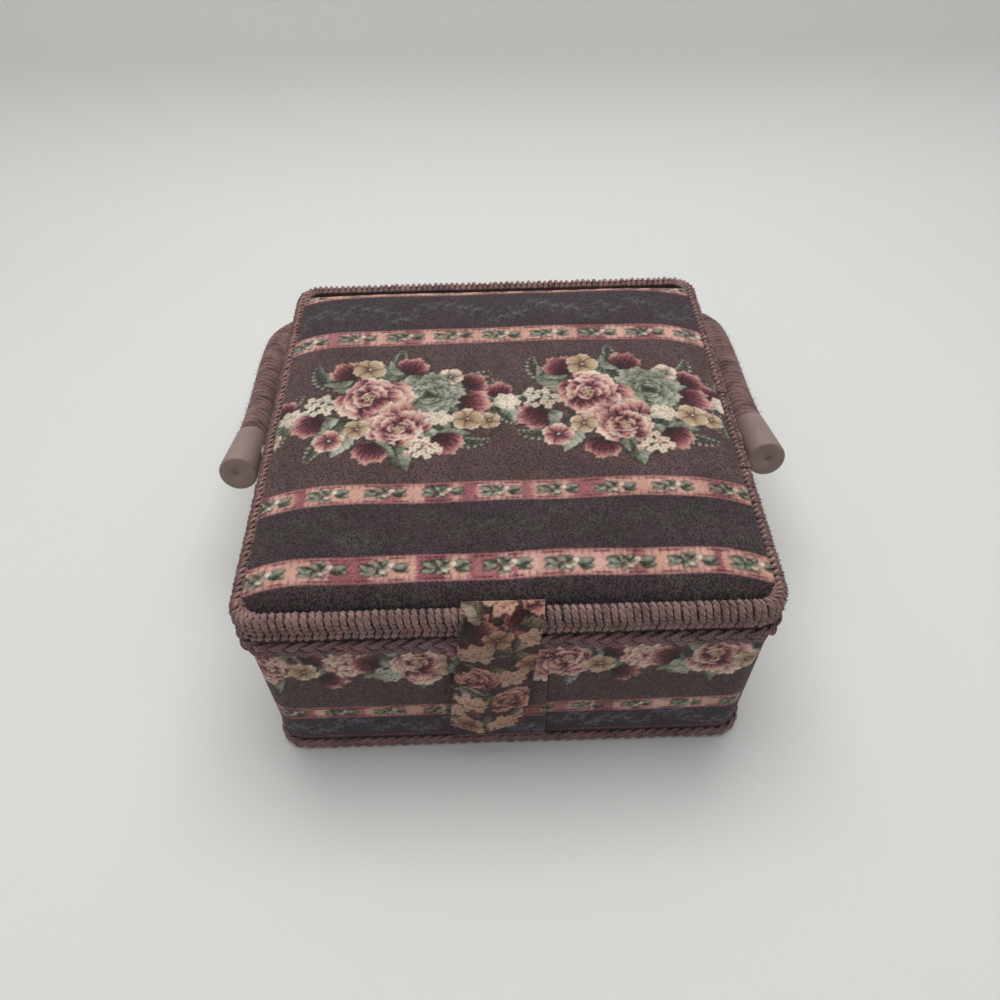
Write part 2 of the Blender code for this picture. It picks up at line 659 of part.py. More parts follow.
def tray_half():
    """Half the tray's width and depth: it clears the screw heads at its sides and the lining at its ends."""
    screw_face = washer_face() - WASHER_THICKNESS - SEAT_GAP - SCREW_HEAD_HEIGHT
    half_y = body_half(LEDGE_TOP)[1] + LINING_INSET - TRAY_END_GAP
    return screw_face - TRAY_SIDE_GAP, half_y


def add_tray(tray_axis):
    """A moulded tray with a lip round its top, hollowed by its compartments."""
    half_x, half_y = tray_half()
    bottom = LEDGE_TOP + SEAT_GAP
    top = bottom + TRAY_HEIGHT
    lip = top - TRAY_LIP_HEIGHT
    levels = ((bottom, -TRAY_DRAFT), (lip, 0), (lip, TRAY_LIP), (top, TRAY_LIP))
    rings = [outline(half_x + out, half_y + out, TRAY_CORNER_RADIUS + out, z) for z, out in levels]
    tray = add_piece("tray", lofted(rings), "tray_plastic", tray_axis)
    hollows = bmesh.new()
    room_x = half_x - TRAY_WALL / 2 - TRAY_DRAFT
    room_y = half_y - TRAY_WALL / 2 - TRAY_DRAFT
    for left, right, front, back in TRAY_POCKET_SHARES:
        centre = ((left + right - 1) * room_x, (front + back - 1) * room_y)
        wide = (right - left) * room_x - TRAY_WALL / 2
        deep = (back - front) * room_y - TRAY_WALL / 2
        sides = ((bottom + TRAY_WALL, -TRAY_DRAFT), (top + CUT_OVERRUN, 0))
        pocket = [outline(wide + out, deep + out, TRAY_POCKET_RADIUS + out, z, centre) for z, out in sides]
        lofted(pocket, mesh=hollows)
    cut(tray, as_cutter(add_piece("tray_hollows", hollows, "tray_plastic", tray_axis)))


def add_ledges():
    """A strip along each side wall, on which the tray's edges rest."""
    bottom = LEDGE_TOP - LEDGE_HEIGHT
    inner = tray_half()[0] - TRAY_DRAFT - LEDGE_BEARING
    outer = body_half(bottom)[0] + LINING_INSET - SEAT_GAP
    reach = LEDGE_LENGTH_SHARE * BODY_DEPTH / 2
    for side, sign in (("left", -1), ("right", 1)):
        left, right = sorted((sign * inner, sign * outer))
        add_piece(f"tray_ledge_{side}", box((left, -reach, bottom), (right, reach, LEDGE_TOP)), "board")


def main():
    clear_scene()
    lid_axis = pivot_empty("lid_axis", (0, LID_DEPTH / 2 + SEAT_GAP + STRAP_THICKNESS / 2, HINGE_AXIS_HEIGHT))
    latch_axis = pivot_empty("latch_axis", (LATCH_OFFSET, FLAP_MIDDLE, LATCH_AXIS_HEIGHT))
    handle_axis = pivot_empty("handle_axis", drooped(0, 0))
    tray_axis = pivot_empty("tray_axis", (0, 0, LEDGE_TOP))
    screw_cutter = screw_hole_cutter()
    add_floor()
    add_walls(screw_cutter)
    add_rim_braid()
    add_base_braid()
    add_front_strip()
    add_snap(latch_axis)
    add_latch(latch_axis, lid_axis)
    add_hinge_straps(lid_axis)
    add_lid_frame(lid_axis)
    add_lid_top(lid_axis)
    add_lid_inside(lid_axis)
    add_handle_rod(handle_axis)
    add_end_caps(handle_axis, screw_cutter)
    add_pivots()
    add_tray(tray_axis)
    add_ledges()


if __name__ == "__main__":
    main()
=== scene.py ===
"""A square sewing basket in printed cotton with corded edges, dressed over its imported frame."""

import logging
import math
from dataclasses import dataclass
from enum import Enum
from typing import Callable, Sequence

import bmesh
import bpy
import numpy as np
from mathutils import Matrix, Vector


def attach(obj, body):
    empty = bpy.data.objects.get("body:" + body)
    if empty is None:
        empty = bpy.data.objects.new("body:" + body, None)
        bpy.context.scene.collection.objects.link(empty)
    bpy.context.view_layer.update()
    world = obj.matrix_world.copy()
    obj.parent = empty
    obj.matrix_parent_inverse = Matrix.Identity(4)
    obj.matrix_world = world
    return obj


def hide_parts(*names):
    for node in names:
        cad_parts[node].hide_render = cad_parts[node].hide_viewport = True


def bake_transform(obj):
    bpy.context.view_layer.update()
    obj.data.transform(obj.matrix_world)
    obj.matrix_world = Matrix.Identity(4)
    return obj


LOG = logging.getLogger("sewing_basket")
MM = 0.001
WELD = 1e-6  # Points nearer than this are joined
SHARP = math.radians(50)  # Edges that turn more than this stay sharp
CORNER_STEPS = 24
BAND_REPEAT = math.tau / 20  # Bands of scale 1 repeat over this length
DIAGONAL_REPEAT = math.tau / 10  # Diagonal bands of scale 1 repeat over this length
PRINT_SPACING = 0.6  # Millimetres between the corners that a print is read at
GOLDEN = 2.4  # Radians between one seed and the next in a flower's heart

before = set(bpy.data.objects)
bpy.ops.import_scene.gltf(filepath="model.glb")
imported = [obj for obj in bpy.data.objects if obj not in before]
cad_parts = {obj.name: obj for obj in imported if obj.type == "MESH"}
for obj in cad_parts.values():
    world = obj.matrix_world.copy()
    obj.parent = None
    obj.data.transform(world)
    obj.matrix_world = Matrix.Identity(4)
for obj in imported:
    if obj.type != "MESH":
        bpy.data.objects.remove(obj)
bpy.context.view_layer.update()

Spot = tuple[float, float, float]
Cells = tuple[slice, slice]
Placer = Callable[[np.ndarray, np.ndarray], np.ndarray]


class Body(Enum):
    """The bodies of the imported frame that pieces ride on."""

    BASKET = "basket"
    LID = "lid"
    HANDLE = "handle"


class Slot(Enum):
    """The record's material slots."""

    PRINTED_CLOTH = "printed_cloth"
    PLAIN_CLOTH = "plain_cloth"
    LINING_CLOTH = "lining_cloth"
    CORD = "cord"
    BOARD = "board"
    ROD = "rod"
    CAP_PLASTIC = "cap_plastic"
    CLEAR_PLASTIC = "clear_plastic"
    TRAY_PLASTIC = "tray_plastic"
    STEEL = "steel"


class Yarn(Enum):
    """Dye shades of the print, as sRGB hex."""

    GROUND = "#644c4b"
    # Darker print bands, and painted shade along the lid's front edge
    DUSK_AND_FRONT_SHADE = "#4a3b3e"
    PLUM = "#4c3c48"
    PEACH = "#d3a594"
    DUSTY = "#a4636a"
    BURGUNDY = "#6b2b38"
    WINE = "#3a151f"
    ROSE = "#ad7273"
    BLUSH = "#dbaea0"
    CREAM = "#f0dfca"
    SAGE = "#868c7b"
    MIST = "#bdc0b0"
    LEAF = "#566047"
    PINE = "#262d24"
    OCHRE = "#c2a888"
    UMBER = "#7b5d45"
    SCROLL = "#85838a"
    SLATE = "#74737e"


Tones = tuple[Yarn, ...]
ROSE_TONES: Tones = (Yarn.WINE, Yarn.BURGUNDY, Yarn.DUSTY, Yarn.BLUSH, Yarn.CREAM)
BLUSH_TONES: Tones = (Yarn.BURGUNDY, Yarn.ROSE, Yarn.BLUSH, Yarn.CREAM)
SAGE_TONES: Tones = (Yarn.PINE, Yarn.LEAF, Yarn.SAGE, Yarn.MIST)
GOLD_TONES: Tones = (Yarn.UMBER, Yarn.OCHRE, Yarn.OCHRE, Yarn.CREAM)
MIST_TONES: Tones = (Yarn.LEAF, Yarn.SAGE, Yarn.MIST, Yarn.CREAM)
WINE_TONES: Tones = (Yarn.WINE, Yarn.BURGUNDY, Yarn.DUSTY, Yarn.BLUSH)
PALE_TONES: Tones = (Yarn.LEAF, Yarn.CREAM, Yarn.CREAM)
STRIPE_TONES: Tones = (
    Yarn.PEACH, Yarn.ROSE, Yarn.PEACH, Yarn.BLUSH, Yarn.DUSTY, Yarn.PEACH, Yarn.PEACH, Yarn.BLUSH,
)


def linear(hex_colour: str) -> tuple[float, float, float, float]:
    """Turns an sRGB hex colour to linear light.

    Args:
        hex_colour: The colour as #rrggbb.

    Returns:
        Red, green, blue and an alpha of 1.
    """
    parts = [int(hex_colour[i : i + 2], 16) / 255 for i in (1, 3, 5)]
    red, green, blue = (c / 12.92 if c <= 0.04045 else ((c + 0.055) / 1.055) ** 2.4 for c in parts)
    return red, green, blue, 1.0


def shade(yarn: Yarn) -> np.ndarray:
    """The linear red, green and blue of a dye shade."""
    return np.array(linear(yarn.value)[:3])


def graded(tones: Tones, place: np.ndarray) -> np.ndarray:
    """Blends shades, evenly spaced from 0 to 1, at each place between them."""
    table = np.array([shade(tone) for tone in tones])
    return np.stack([np.interp(place, np.linspace(0, 1, len(table)), table[:, k]) for k in range(3)], axis=-1)


def plug(node: bpy.types.Node, inputs: dict[str | int, object]) -> None:
    """Sets or links a node's inputs.

    Args:
        node: The node.
        inputs: Socket name or number to a value, or to an output socket to link.
    """
    for name, value in inputs.items():
        if isinstance(value, bpy.types.NodeSocket):
            node.id_data.links.new(value, node.inputs[name])
        else:
            node.inputs[name].default_value = value


def add(
    tree: bpy.types.NodeTree,
    kind: str,
    inputs: dict[str | int, object] | None = None,
    out: str | int = 0,
    stops: Sequence[tuple[float, str]] = (),
    **settings: object,
) -> bpy.types.NodeSocket:
    """Adds one shader node with its settings, values and links.

    Args:
        tree: The material's node tree.
        kind: The node type without its ShaderNode prefix.
        inputs: Socket name or number to a value, or to an output socket to link.
        out: The name or number of the output that is used.
        stops: The places and hex colours of a colour ramp's two ends.
        **settings: Properties of the node.

    Returns:
        The output that is used.
    """
    node = tree.nodes.new("ShaderNode" + kind)
    for name, value in settings.items():
        setattr(node, name, value)
    for index, (place, colour) in enumerate(stops):
        node.color_ramp.elements[index].position = place
        node.color_ramp.elements[index].color = linear(colour)
    plug(node, inputs or {})
    return node.outputs[out]


@dataclass(frozen=True)
class Finish:
    """What every finish has: a name, the record's slot, and nodes before a Principled shader."""

    name: str
    slot: Slot

    def material(self) -> bpy.types.Material:
        """The material, made once and shared by all pieces of this finish."""
        made = bpy.data.materials.get(self.name)
        if made is None:
            made = bpy.data.materials.new(self.name)
            made.use_nodes = True
            plug(made.node_tree.nodes["Principled BSDF"], self.surface(made.node_tree))
        return made

    def surface(self, tree: bpy.types.NodeTree) -> dict[str, object]:
        """Lays this finish's nodes.

        Args:
            tree: The material's node tree.

        Returns:
            What the Principled shader's inputs get.
        """
        raise NotImplementedError

    def mottle(
        self, tree: bpy.types.NodeTree, size: float, ramp: Sequence[tuple[float, str]], **noise: float
    ) -> tuple[bpy.types.NodeSocket, bpy.types.NodeSocket]:
        """Lays a cloudy pattern of two shades.

        Args:
            tree: The material's node tree.
            size: The size of its clouds.
            ramp: The places and hex colours of the two shades.
            **noise: Further inputs of the noise.

        Returns:
            The clouds, and their colour.
        """
        place = add(tree, "TexCoord", out="Object")
        clouds = add(tree, "TexNoise", {"Vector": place, "Scale": 1 / size, **noise})
        return clouds, add(tree, "ValToRGB", {"Fac": clouds}, stops=ramp)


@dataclass(frozen=True)
class WovenCotton(Finish):
    """Plain-woven cotton cloth, printed or dyed: dull, with fine threads and a faint bloom of fibre."""

    colour: str | None = None
    thread: float = 0.3 * MM
    relief: float = 0.10 * MM
    lint: float = 0.9

    def surface(self, tree: bpy.types.NodeTree) -> dict[str, object]:
        """See Finish.surface. The print comes from the piece's own colour attribute."""
        cloth = add(tree, "UVMap", uv_map="UVMap")
        base = (
            linear(self.colour) if self.colour
            else add(tree, "Attribute", out="Color", attribute_name="print", attribute_type="GEOMETRY")
        )
        # Heathered yarn: flecks a thread or two wide, one in each 0.6 mm, most on dark dye
        cell = add(tree, "TexVoronoi", {"Vector": cloth, "Scale": 1 / (0.6 * MM)}, out="Color")
        fleck = add(tree, "RGBToBW", {0: cell})
        lint = add(tree, "ValToRGB", {"Fac": fleck}, stops=((0.3, "#3a3432"), (0.7, "#ffffff")))
        depth = add(tree, "RGBToBW", {0: base})
        share = add(tree, "MapRange", {0: depth, 1: 0.06, 2: 0.24, 3: self.lint, 4: 0.25 * self.lint})
        # Wear and sun fade it unevenly over a hand's breadth, in patches of 24 mm
        worn = add(tree, "TexNoise", {"Vector": cloth, "Scale": 1 / (24 * MM), "Detail": 2.0})
        wear = add(tree, "ValToRGB", {"Fac": worn}, stops=((0.3, "#d4c9c4"), (0.7, "#ffffff")))
        multiply = {"out": 2, "data_type": "RGBA", "blend_type": "MULTIPLY"}
        speckled = add(tree, "Mix", {0: share, 6: base, 7: lint}, **multiply)
        faded = add(tree, "Mix", {0: 0.85, 6: speckled, 7: wear}, **multiply)
        # Threads of such cotton lie 0.25 mm apart; they are drawn 0.3 mm apart so that they show
        count = BAND_REPEAT / self.thread
        wave = {"Vector": cloth, "Scale": count, "Distortion": 1.2, "Detail Scale": 2.0}
        warp, weft = (
            add(tree, "TexWave", wave, out="Fac", wave_type="BANDS", bands_direction=axis) for axis in "XY"
        )
        weave = add(tree, "Math", {0: warp, 1: weft}, operation="MULTIPLY")
        height = add(tree, "Math", {0: weave, 1: fleck}, operation="ADD")
        bump = add(tree, "Bump", {"Height": height, "Strength": 0.6, "Distance": self.relief})
        return {
            "Base Color": faded, "Normal": bump, "Roughness": 0.92, "Specular IOR Level": 0.25,
            "Sheen Weight": 0.12, "Sheen Roughness": 0.6,
        }


@dataclass(frozen=True)
class TwistedCord(Finish):
    """Soft spun cord of cotton-like fibre: matte, hairy, its plies laid round each other."""

    colour: str = "#9a7772"
    # Dark end of the cord's tone: its uneven dye, and painted shade in the grooves between plies
    dye_and_groove_shade: str = "#4d3736"
    lay_length: float = 3.2 * MM
    plies: int = 2

    def surface(self, tree: bpy.types.NodeTree) -> dict[str, object]:
        """See Finish.surface. Along a cord the UV map gives metres, and turns around it."""
        along = add(tree, "UVMap", uv_map="UVMap")
        place = add(tree, "TexCoord", out="Object")
        scale = (DIAGONAL_REPEAT / self.lay_length, DIAGONAL_REPEAT * self.plies, 0.0)
        turns = add(tree, "Mapping", {"Vector": along, "Scale": scale})
        ply = add(
            tree, "TexWave", {"Vector": turns, "Scale": 1.0, "Distortion": 0.6, "Detail": 1.0}, out="Fac",
            wave_type="BANDS", bands_direction="DIAGONAL", wave_profile="SIN",
        )
        # Fibres are 0.02 mm fine; they are drawn 0.5 mm wide so that they show
        fine = {"Vector": place, "Scale": 1 / (0.5 * MM), "Detail": 3.0, "Roughness": 0.75}
        fibre = add(tree, "TexNoise", fine)
        # The dye took unevenly, in patches of 9 mm
        dye = add(tree, "TexNoise", {"Vector": place, "Scale": 1 / (9 * MM), "Detail": 2.0})
        mixed = add(tree, "Math", {0: fibre, 1: dye}, operation="MULTIPLY")
        # The ply bands darken the grooves between the plies: painted shade, mixed with the dye's uneven
        # patches
        shaded = add(tree, "Math", {0: ply, 1: 0.14, 2: mixed}, operation="MULTIPLY_ADD")
        tone = add(tree, "ValToRGB", {"Fac": shaded}, stops=((0.14, self.dye_and_groove_shade), (0.46, self.colour)))
        height = add(tree, "Math", {0: ply, 1: 0.6, 2: fibre}, operation="MULTIPLY_ADD")
        bump = add(tree, "Bump", {"Height": height, "Strength": 0.7, "Distance": 0.22 * MM})
        return {
            "Base Color": tone, "Normal": bump, "Roughness": 0.95, "Specular IOR Level": 0.2,
            "Sheen Weight": 0.35, "Sheen Roughness": 0.5,
        }


@dataclass(frozen=True)
class MouldedPlastic(Finish):
    """Injection-moulded plastic: even colour with faint flow clouds and a fine matte grain."""

    colour: str = "#8c7772"
    cloud: str = "#816c67"
    roughness: float = 0.52
    grain: float = 0.04 * MM
    transmission: float = 0.0

    def surface(self, tree: bpy.types.NodeTree) -> dict[str, object]:
        """See Finish.surface."""
        ramp = ((0.3, self.cloud), (0.7, self.colour))
        flow, tone = self.mottle(tree, 14 * MM, ramp, Detail=3.0, Distortion=0.6)
        # The mould's spark-eroded grain, 0.25 mm
        place = add(tree, "TexCoord", out="Object")
        grit = add(tree, "TexNoise", {"Vector": place, "Scale": 1 / (0.25 * MM), "Detail": 2.0})
        bump = add(tree, "Bump", {"Height": grit, "Strength": 0.5, "Distance": self.grain})
        rub = add(tree, "MapRange", {0: flow, 3: self.roughness - 0.06, 4: self.roughness + 0.06})
        return {
            "Base Color": tone, "Normal": bump, "Roughness": rub, "IOR": 1.49,
            "Transmission Weight": self.transmission,
        }


@dataclass(frozen=True)
class PressedBoard(Finish):
    """Grey-brown millboard: pressed paper pulp with fibres and dark flecks."""

    colour: str = "#a8937a"
    fleck: str = "#7d6a55"

    def surface(self, tree: bpy.types.NodeTree) -> dict[str, object]:
        """See Finish.surface. The pulp lies in clots of 0.8 mm."""
        ramp = ((0.32, self.fleck), (0.58, self.colour))
        pulp, tone = self.mottle(tree, 0.8 * MM, ramp, Detail=4.0, Roughness=0.7)
        bump = add(tree, "Bump", {"Height": pulp, "Strength": 0.5, "Distance": 0.08 * MM})
        return {"Base Color": tone, "Normal": bump, "Roughness": 0.9}


@dataclass(frozen=True)
class ZincSteel(Finish):
    """Bright zinc-plated steel, barrel-finished: a soft grey shine with dull patches of 1.5 mm."""

    def surface(self, tree: bpy.types.NodeTree) -> dict[str, object]:
        """See Finish.surface."""
        dull, tone = self.mottle(tree, 1.5 * MM, ((0.3, "#a9a8a4"), (0.7, "#c6c5c1")), Detail=4.0)
        rub = add(tree, "MapRange", {0: dull, 3: 0.24, 4: 0.42})
        return {"Base Color": tone, "Roughness": rub, "Metallic": 1.0}


@dataclass(frozen=True)
class BentCane(Finish):
    """Split rattan core: straw wood with pores 0.5 mm wide."""

    def surface(self, tree: bpy.types.NodeTree) -> dict[str, object]:
        """See Finish.surface."""
        _, tone = self.mottle(tree, 0.5 * MM, ((0.35, "#9a7c50"), (0.65, "#c3a874")), Detail=3.0)
        return {"Base Color": tone, "Roughness": 0.6}


@dataclass(frozen=True)
class Workshop:
    """The finishes of the basket's pieces."""

    print_cotton: Finish = WovenCotton("printed_cotton", Slot.PRINTED_CLOTH)
    plain_cotton: Finish = WovenCotton("brown_cotton", Slot.PLAIN_CLOTH, colour="#5b4a49", lint=0.4)
    lining: Finish = WovenCotton("rose_lining_cotton", Slot.LINING_CLOTH, colour="#b3938d", lint=0.3)
    cord: Finish = TwistedCord("spun_cord", Slot.CORD)
    # A darker copy of the cord: painted shade for the gaps between the rim's stitches
    gap_shade_cord: Finish = TwistedCord("gap_shade_spun_cord", Slot.CORD, colour="#4f3d3c", dye_and_groove_shade="#2e2222")
    fine_cord: Finish = TwistedCord("fine_spun_cord", Slot.CORD, colour="#8a6968", lay_length=2.0 * MM)
    wound_cord: Finish = TwistedCord("wound_spun_cord", Slot.CORD, "#93736f", "#3d2a29", 9.0 * MM, 0)
    cap: Finish = MouldedPlastic("moulded_polypropylene", Slot.CAP_PLASTIC)
    collar: Finish = MouldedPlastic(
        "clear_moulded_nylon", Slot.CLEAR_PLASTIC, "#b9beb2", "#a9b0a4", 0.22, 0.01 * MM, 0.7
    )
    tray: Finish = MouldedPlastic(
        "moulded_polystyrene", Slot.TRAY_PLASTIC, "#d9c8bd", "#d2bfb4", 0.3, 0.008 * MM, 0.0
    )
    board: Finish = PressedBoard("pressed_millboard", Slot.BOARD)
    steel: Finish = ZincSteel("zinc_plated_steel", Slot.STEEL)
    cane: Finish = BentCane("bent_cane", Slot.ROD)


SHOP = Workshop()


def run_along(points: np.ndarray) -> np.ndarray:
    """How far along a line each of its points lies."""
    return np.concatenate([[0], np.cumsum(np.linalg.norm(np.diff(points, axis=0), axis=1))])


def smooth_path(points: Sequence[Sequence[float]], count: int) -> np.ndarray:
    """A smooth line through points, evenly stepped.

    Args:
        points: The points that the line passes through.
        count: How many points the result has.

    Returns:
        The points of the line, one a row.
    """
    known = np.asarray(points, float)
    padded = np.vstack([2 * known[0] - known[1], known, 2 * known[-1] - known[-2]])
    t = np.linspace(0, 1, 24, endpoint=False)[:, None]
    pieces = [
        0.5 * (2 * b + (c - a) * t + (2 * a - 5 * b + 4 * c - d) * t**2 + (3 * b - a - 3 * c + d) * t**3)
        for a, b, c, d in zip(padded, padded[1:], padded[2:], padded[3:])
    ]
    line = np.vstack([*pieces, known[-1:]])
    run = run_along(line)
    even = np.linspace(0, run[-1], count)
    return np.column_stack([np.interp(even, run, line[:, k]) for k in range(line.shape[1])])


class RoundedLoop:
    """A rectangle with round corners, followed anticlockwise from the middle of its back."""

    def __init__(self, half_x: float, half_y: float, radius: float) -> None:
        """Lays out the loop.

        Args:
            half_x: Half its width.
            half_y: Half its depth.
            radius: The radius of its corners.
        """
        points = [(0.0, half_y)]
        normals = [(0.0, 1.0)]
        for x_side, y_side, start in ((-1, 1, 90), (-1, -1, 180), (1, -1, 270), (1, 1, 360)):
            for step in range(CORNER_STEPS + 1):
                angle = math.radians(start + 90 * step / CORNER_STEPS)
                across, up = math.cos(angle), math.sin(angle)
                x = x_side * (half_x - radius) + radius * across
                points.append((x, y_side * (half_y - radius) + radius * up))
                normals.append((across, up))
        self.points = np.array([*points, points[0]])
        self.normals = np.array([*normals, normals[0]])
        self.run = run_along(self.points)
        self.length = float(self.run[-1])

    def at(self, distance: np.ndarray, outset: np.ndarray | float = 0.0) -> np.ndarray:
        """Points at a distance along the loop.

        Args:
            distance: How far along each point lies, in metres.
            outset: How far outside the loop it lies.

        Returns:
            The x and y of each point.
        """
        around = np.mod(distance, self.length)
        found, facing = (
            np.stack([np.interp(around, self.run, table[:, k]) for k in (0, 1)], axis=-1)
            for table in (self.points, self.normals)
        )
        facing /= np.linalg.norm(facing, axis=-1, keepdims=True)
        return found + facing * np.broadcast_to(outset, around.shape)[..., None]


def rounded_square(u: np.ndarray, v: np.ndarray, half_x: float, half_y: float, radius: float) -> np.ndarray:
    """Bends a square grid's corners to fit a rectangle with round corners.

    Args:
        u: Shares along, 0 to 1.
        v: Shares across, 0 to 1.
        half_x: Half the rectangle's width.
        half_y: Half its depth.
        radius: The radius of its corners.

    Returns:
        The x and y of each point.
    """
    x = (2 * u - 1) * half_x
    y = (2 * v - 1) * half_y
    a = np.maximum(np.abs(x) - (half_x - radius), 0)
    b = np.maximum(np.abs(y) - (half_y - radius), 0)
    corner = (a > 0) & (b > 0)
    big = np.maximum(a, b)
    with np.errstate(divide="ignore", invalid="ignore"):
        angle = np.where(a >= b, math.pi / 4 * b / a, math.pi / 2 - math.pi / 4 * a / b)
    angle = np.where(corner, angle, 0)
    bent_x = np.sign(x) * (half_x - radius + big * np.cos(angle))
    bent_y = np.sign(y) * (half_y - radius + big * np.sin(angle))
    return np.column_stack([np.where(corner, bent_x, x), np.where(corner, bent_y, y)])


def mesh_of(name: str, form: bmesh.types.BMesh) -> bpy.types.Mesh:
    """Turns a bmesh into smooth mesh data and frees it.

    Args:
        name: The mesh's name.
        form: The bmesh.

    Returns:
        The mesh.
    """
    made = bpy.data.meshes.new(name)
    form.to_mesh(made)
    form.free()
    made.shade_smooth()
    made.set_sharp_from_angle(angle=SHARP)
    return made


def placed(name: str, data: bpy.types.ID) -> bpy.types.Object:
    """Makes an object of mesh, camera or lamp data and links it to the scene.

    Args:
        name: The object's name.
        data: Its data.

    Returns:
        The object.
    """
    made = bpy.data.objects.new(name, data)
    bpy.context.collection.objects.link(made)
    return made


def piece(
    name: str, mesh: bpy.types.Mesh, finish: Finish, body: Body | None, replaces: Sequence[str] = ()
) -> bpy.types.Object:
    """Makes an object of a mesh, dresses it and hangs it on its body.

    Args:
        name: The piece's name.
        mesh: Its mesh, in place.
        finish: What it is made of.
        body: The body that it rides on, or None where it rides on none.
        replaces: The frame's nodes that it stands for.

    Returns:
        The object.
    """
    made = placed(name, mesh)
    mesh.materials.clear()
    mesh.materials.append(finish.material())
    if body:
        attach(made, body.value)
    if replaces:
        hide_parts(*replaces)
    LOG.info("%s: %d faces, %s", name, len(mesh.polygons), finish.name)
    return made


def dress_nodes(names: Sequence[str], finish: Finish) -> None:
    """Gives nodes of the frame a finish through their material slots.

    Args:
        names: The nodes.
        finish: What they are made of.
    """
    for name in names:
        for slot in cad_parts[name].material_slots:
            slot.material = finish.material()
        LOG.info("%s: frame node, %s", name, finish.name)


def cord_mesh(
    name: str, paths: Sequence[np.ndarray], radius: float, closed: bool = False, resolution: int = 1,
    shares: Sequence[np.ndarray] | None = None,
) -> bpy.types.Mesh:
    """Round cords along lines. Their UV map gives metres along the cord and turns around it.

    Args:
        name: The mesh's name.
        paths: The middle line of each cord.
        radius: The cords' radius.
        closed: Whether each line joins its own start.
        resolution: Blender's bevel resolution: 1 gives six sides.
        shares: The share of the radius at each point of each line.

    Returns:
        The mesh of all the cords.
    """
    curve = bpy.data.curves.new(name, "CURVE")
    curve.dimensions = "3D"
    curve.bevel_depth = radius
    curve.bevel_resolution = resolution
    curve.use_fill_caps = not closed
    for index, path in enumerate(paths):
        spline = curve.splines.new("POLY")
        spline.points.add(len(path) - 1)
        spline.points.foreach_set("co", np.column_stack([path, np.ones(len(path))]).ravel())
        if shares is not None:
            spline.points.foreach_set("radius", np.asarray(shares[index], float))
        spline.use_cyclic_u = closed
    guide = bpy.data.objects.new(name, curve)
    made = bpy.data.meshes.new_from_object(guide)
    bpy.data.objects.remove(guide)
    form = bmesh.new()
    form.from_mesh(made)
    bmesh.ops.remove_doubles(form, verts=form.verts, dist=WELD / 10)
    bmesh.ops.recalc_face_normals(form, faces=form.faces)
    layer = form.loops.layers.uv["UVMap"]
    length = float(run_along(paths[0])[-1])
    for face in form.faces:
        for corner in face.loops:
            corner[layer].uv.x *= length
    bpy.data.meshes.remove(made)
    return mesh_of(name, form)


def plies(
    path: np.ndarray, sideways: np.ndarray, offset: float, lay: float, start: float
) -> list[np.ndarray]:
    """Splits a cord's middle line into two plies laid round each other.

    Args:
        path: The cord's middle line.
        sideways: A direction that the cord never runs along.
        offset: How far each ply lies from the middle.
        lay: The length of one whole turn.
        start: The turn at the cord's start, in radians.

    Returns:
        The middle lines of both plies.
    """
    out = np.cross(np.gradient(path, axis=0), sideways)
    out /= np.linalg.norm(out, axis=1, keepdims=True)
    phase = (start + math.tau * run_along(path) / lay)[:, None]
    swing = offset * (np.cos(phase) * out + np.sin(phase) * sideways)
    return [path + swing, path - swing]


def loose_fibres(
    name: str, places: np.ndarray, outward: np.ndarray, length: float, seed: int, body: Body
) -> None:
    """Short loose fibres that stand off a cord, drawn 0.22 mm thick so that they show.

    Args:
        name: The piece's name.
        places: The point on the cord's face where each fibre starts.
        outward: The way off the face at each.
        length: The longest fibre.
        seed: What their chances start from.
        body: The body that they ride on.
    """
    chance = np.random.default_rng(seed)
    reach = length * chance.uniform(0.35, 1.0, (len(places), 1))
    lean = outward + 0.75 * chance.normal(size=outward.shape)
    lean /= np.linalg.norm(lean, axis=1, keepdims=True)
    droop = lean + 0.9 * chance.normal(size=outward.shape)
    steps = [places - 0.3 * MM * outward, places + 0.5 * reach * lean]
    steps.append(steps[1] + 0.4 * reach * droop / np.linalg.norm(droop, axis=1, keepdims=True))
    paths = list(np.stack(steps, axis=1))
    shares = [np.array([1.0, 0.8, 0.4])] * len(paths)
    piece(name, cord_mesh(name, paths, 0.11 * MM, resolution=0, shares=shares), SHOP.fine_cord, body)


def cloth_mesh(
    name: str,
    columns: int,
    rows: int,
    place: Placer,
    size: tuple[float, float],
    merge: bool = False,
    thickness: float = 0.0,
    finishing: Callable[[bmesh.types.BMesh], None] | None = None,
) -> bpy.types.Mesh:
    """A fine grid laid over a surface. Its UV map gives metres over the flat cloth.

    Args:
        name: The mesh's name.
        columns: How many faces along.
        rows: How many faces across.
        place: Gives the points for shares along and across, 0 to 1.
        size: The flat cloth's length and breadth.
        merge: Whether edges that meet are joined.
        thickness: The cloth's thickness behind the grid's face, or 0 for none.
        finishing: Further bmesh work on the grid.

    Returns:
        The mesh.
    """
    form = bmesh.new()
    layer = form.loops.layers.uv.new("UVMap")
    bmesh.ops.create_grid(form, x_segments=columns, y_segments=rows, size=0.5, calc_uvs=True)
    flat = np.array([corner.co for corner in form.verts]) + 0.5
    for corner, point in zip(form.verts, place(flat[:, 0], flat[:, 1])):
        corner.co = point
    if merge:
        bmesh.ops.remove_doubles(form, verts=form.verts, dist=WELD)
    for face in form.faces:
        for corner in face.loops:
            corner[layer].uv = (corner[layer].uv.x * size[0], corner[layer].uv.y * size[1])
    if finishing:
        finishing(form)
    if thickness:
        form.normal_update()
        bmesh.ops.solidify(form, geom=form.verts[:] + form.edges[:] + form.faces[:], thickness=-thickness)
        bmesh.ops.reverse_faces(form, faces=form.faces)
    return mesh_of(name, form)


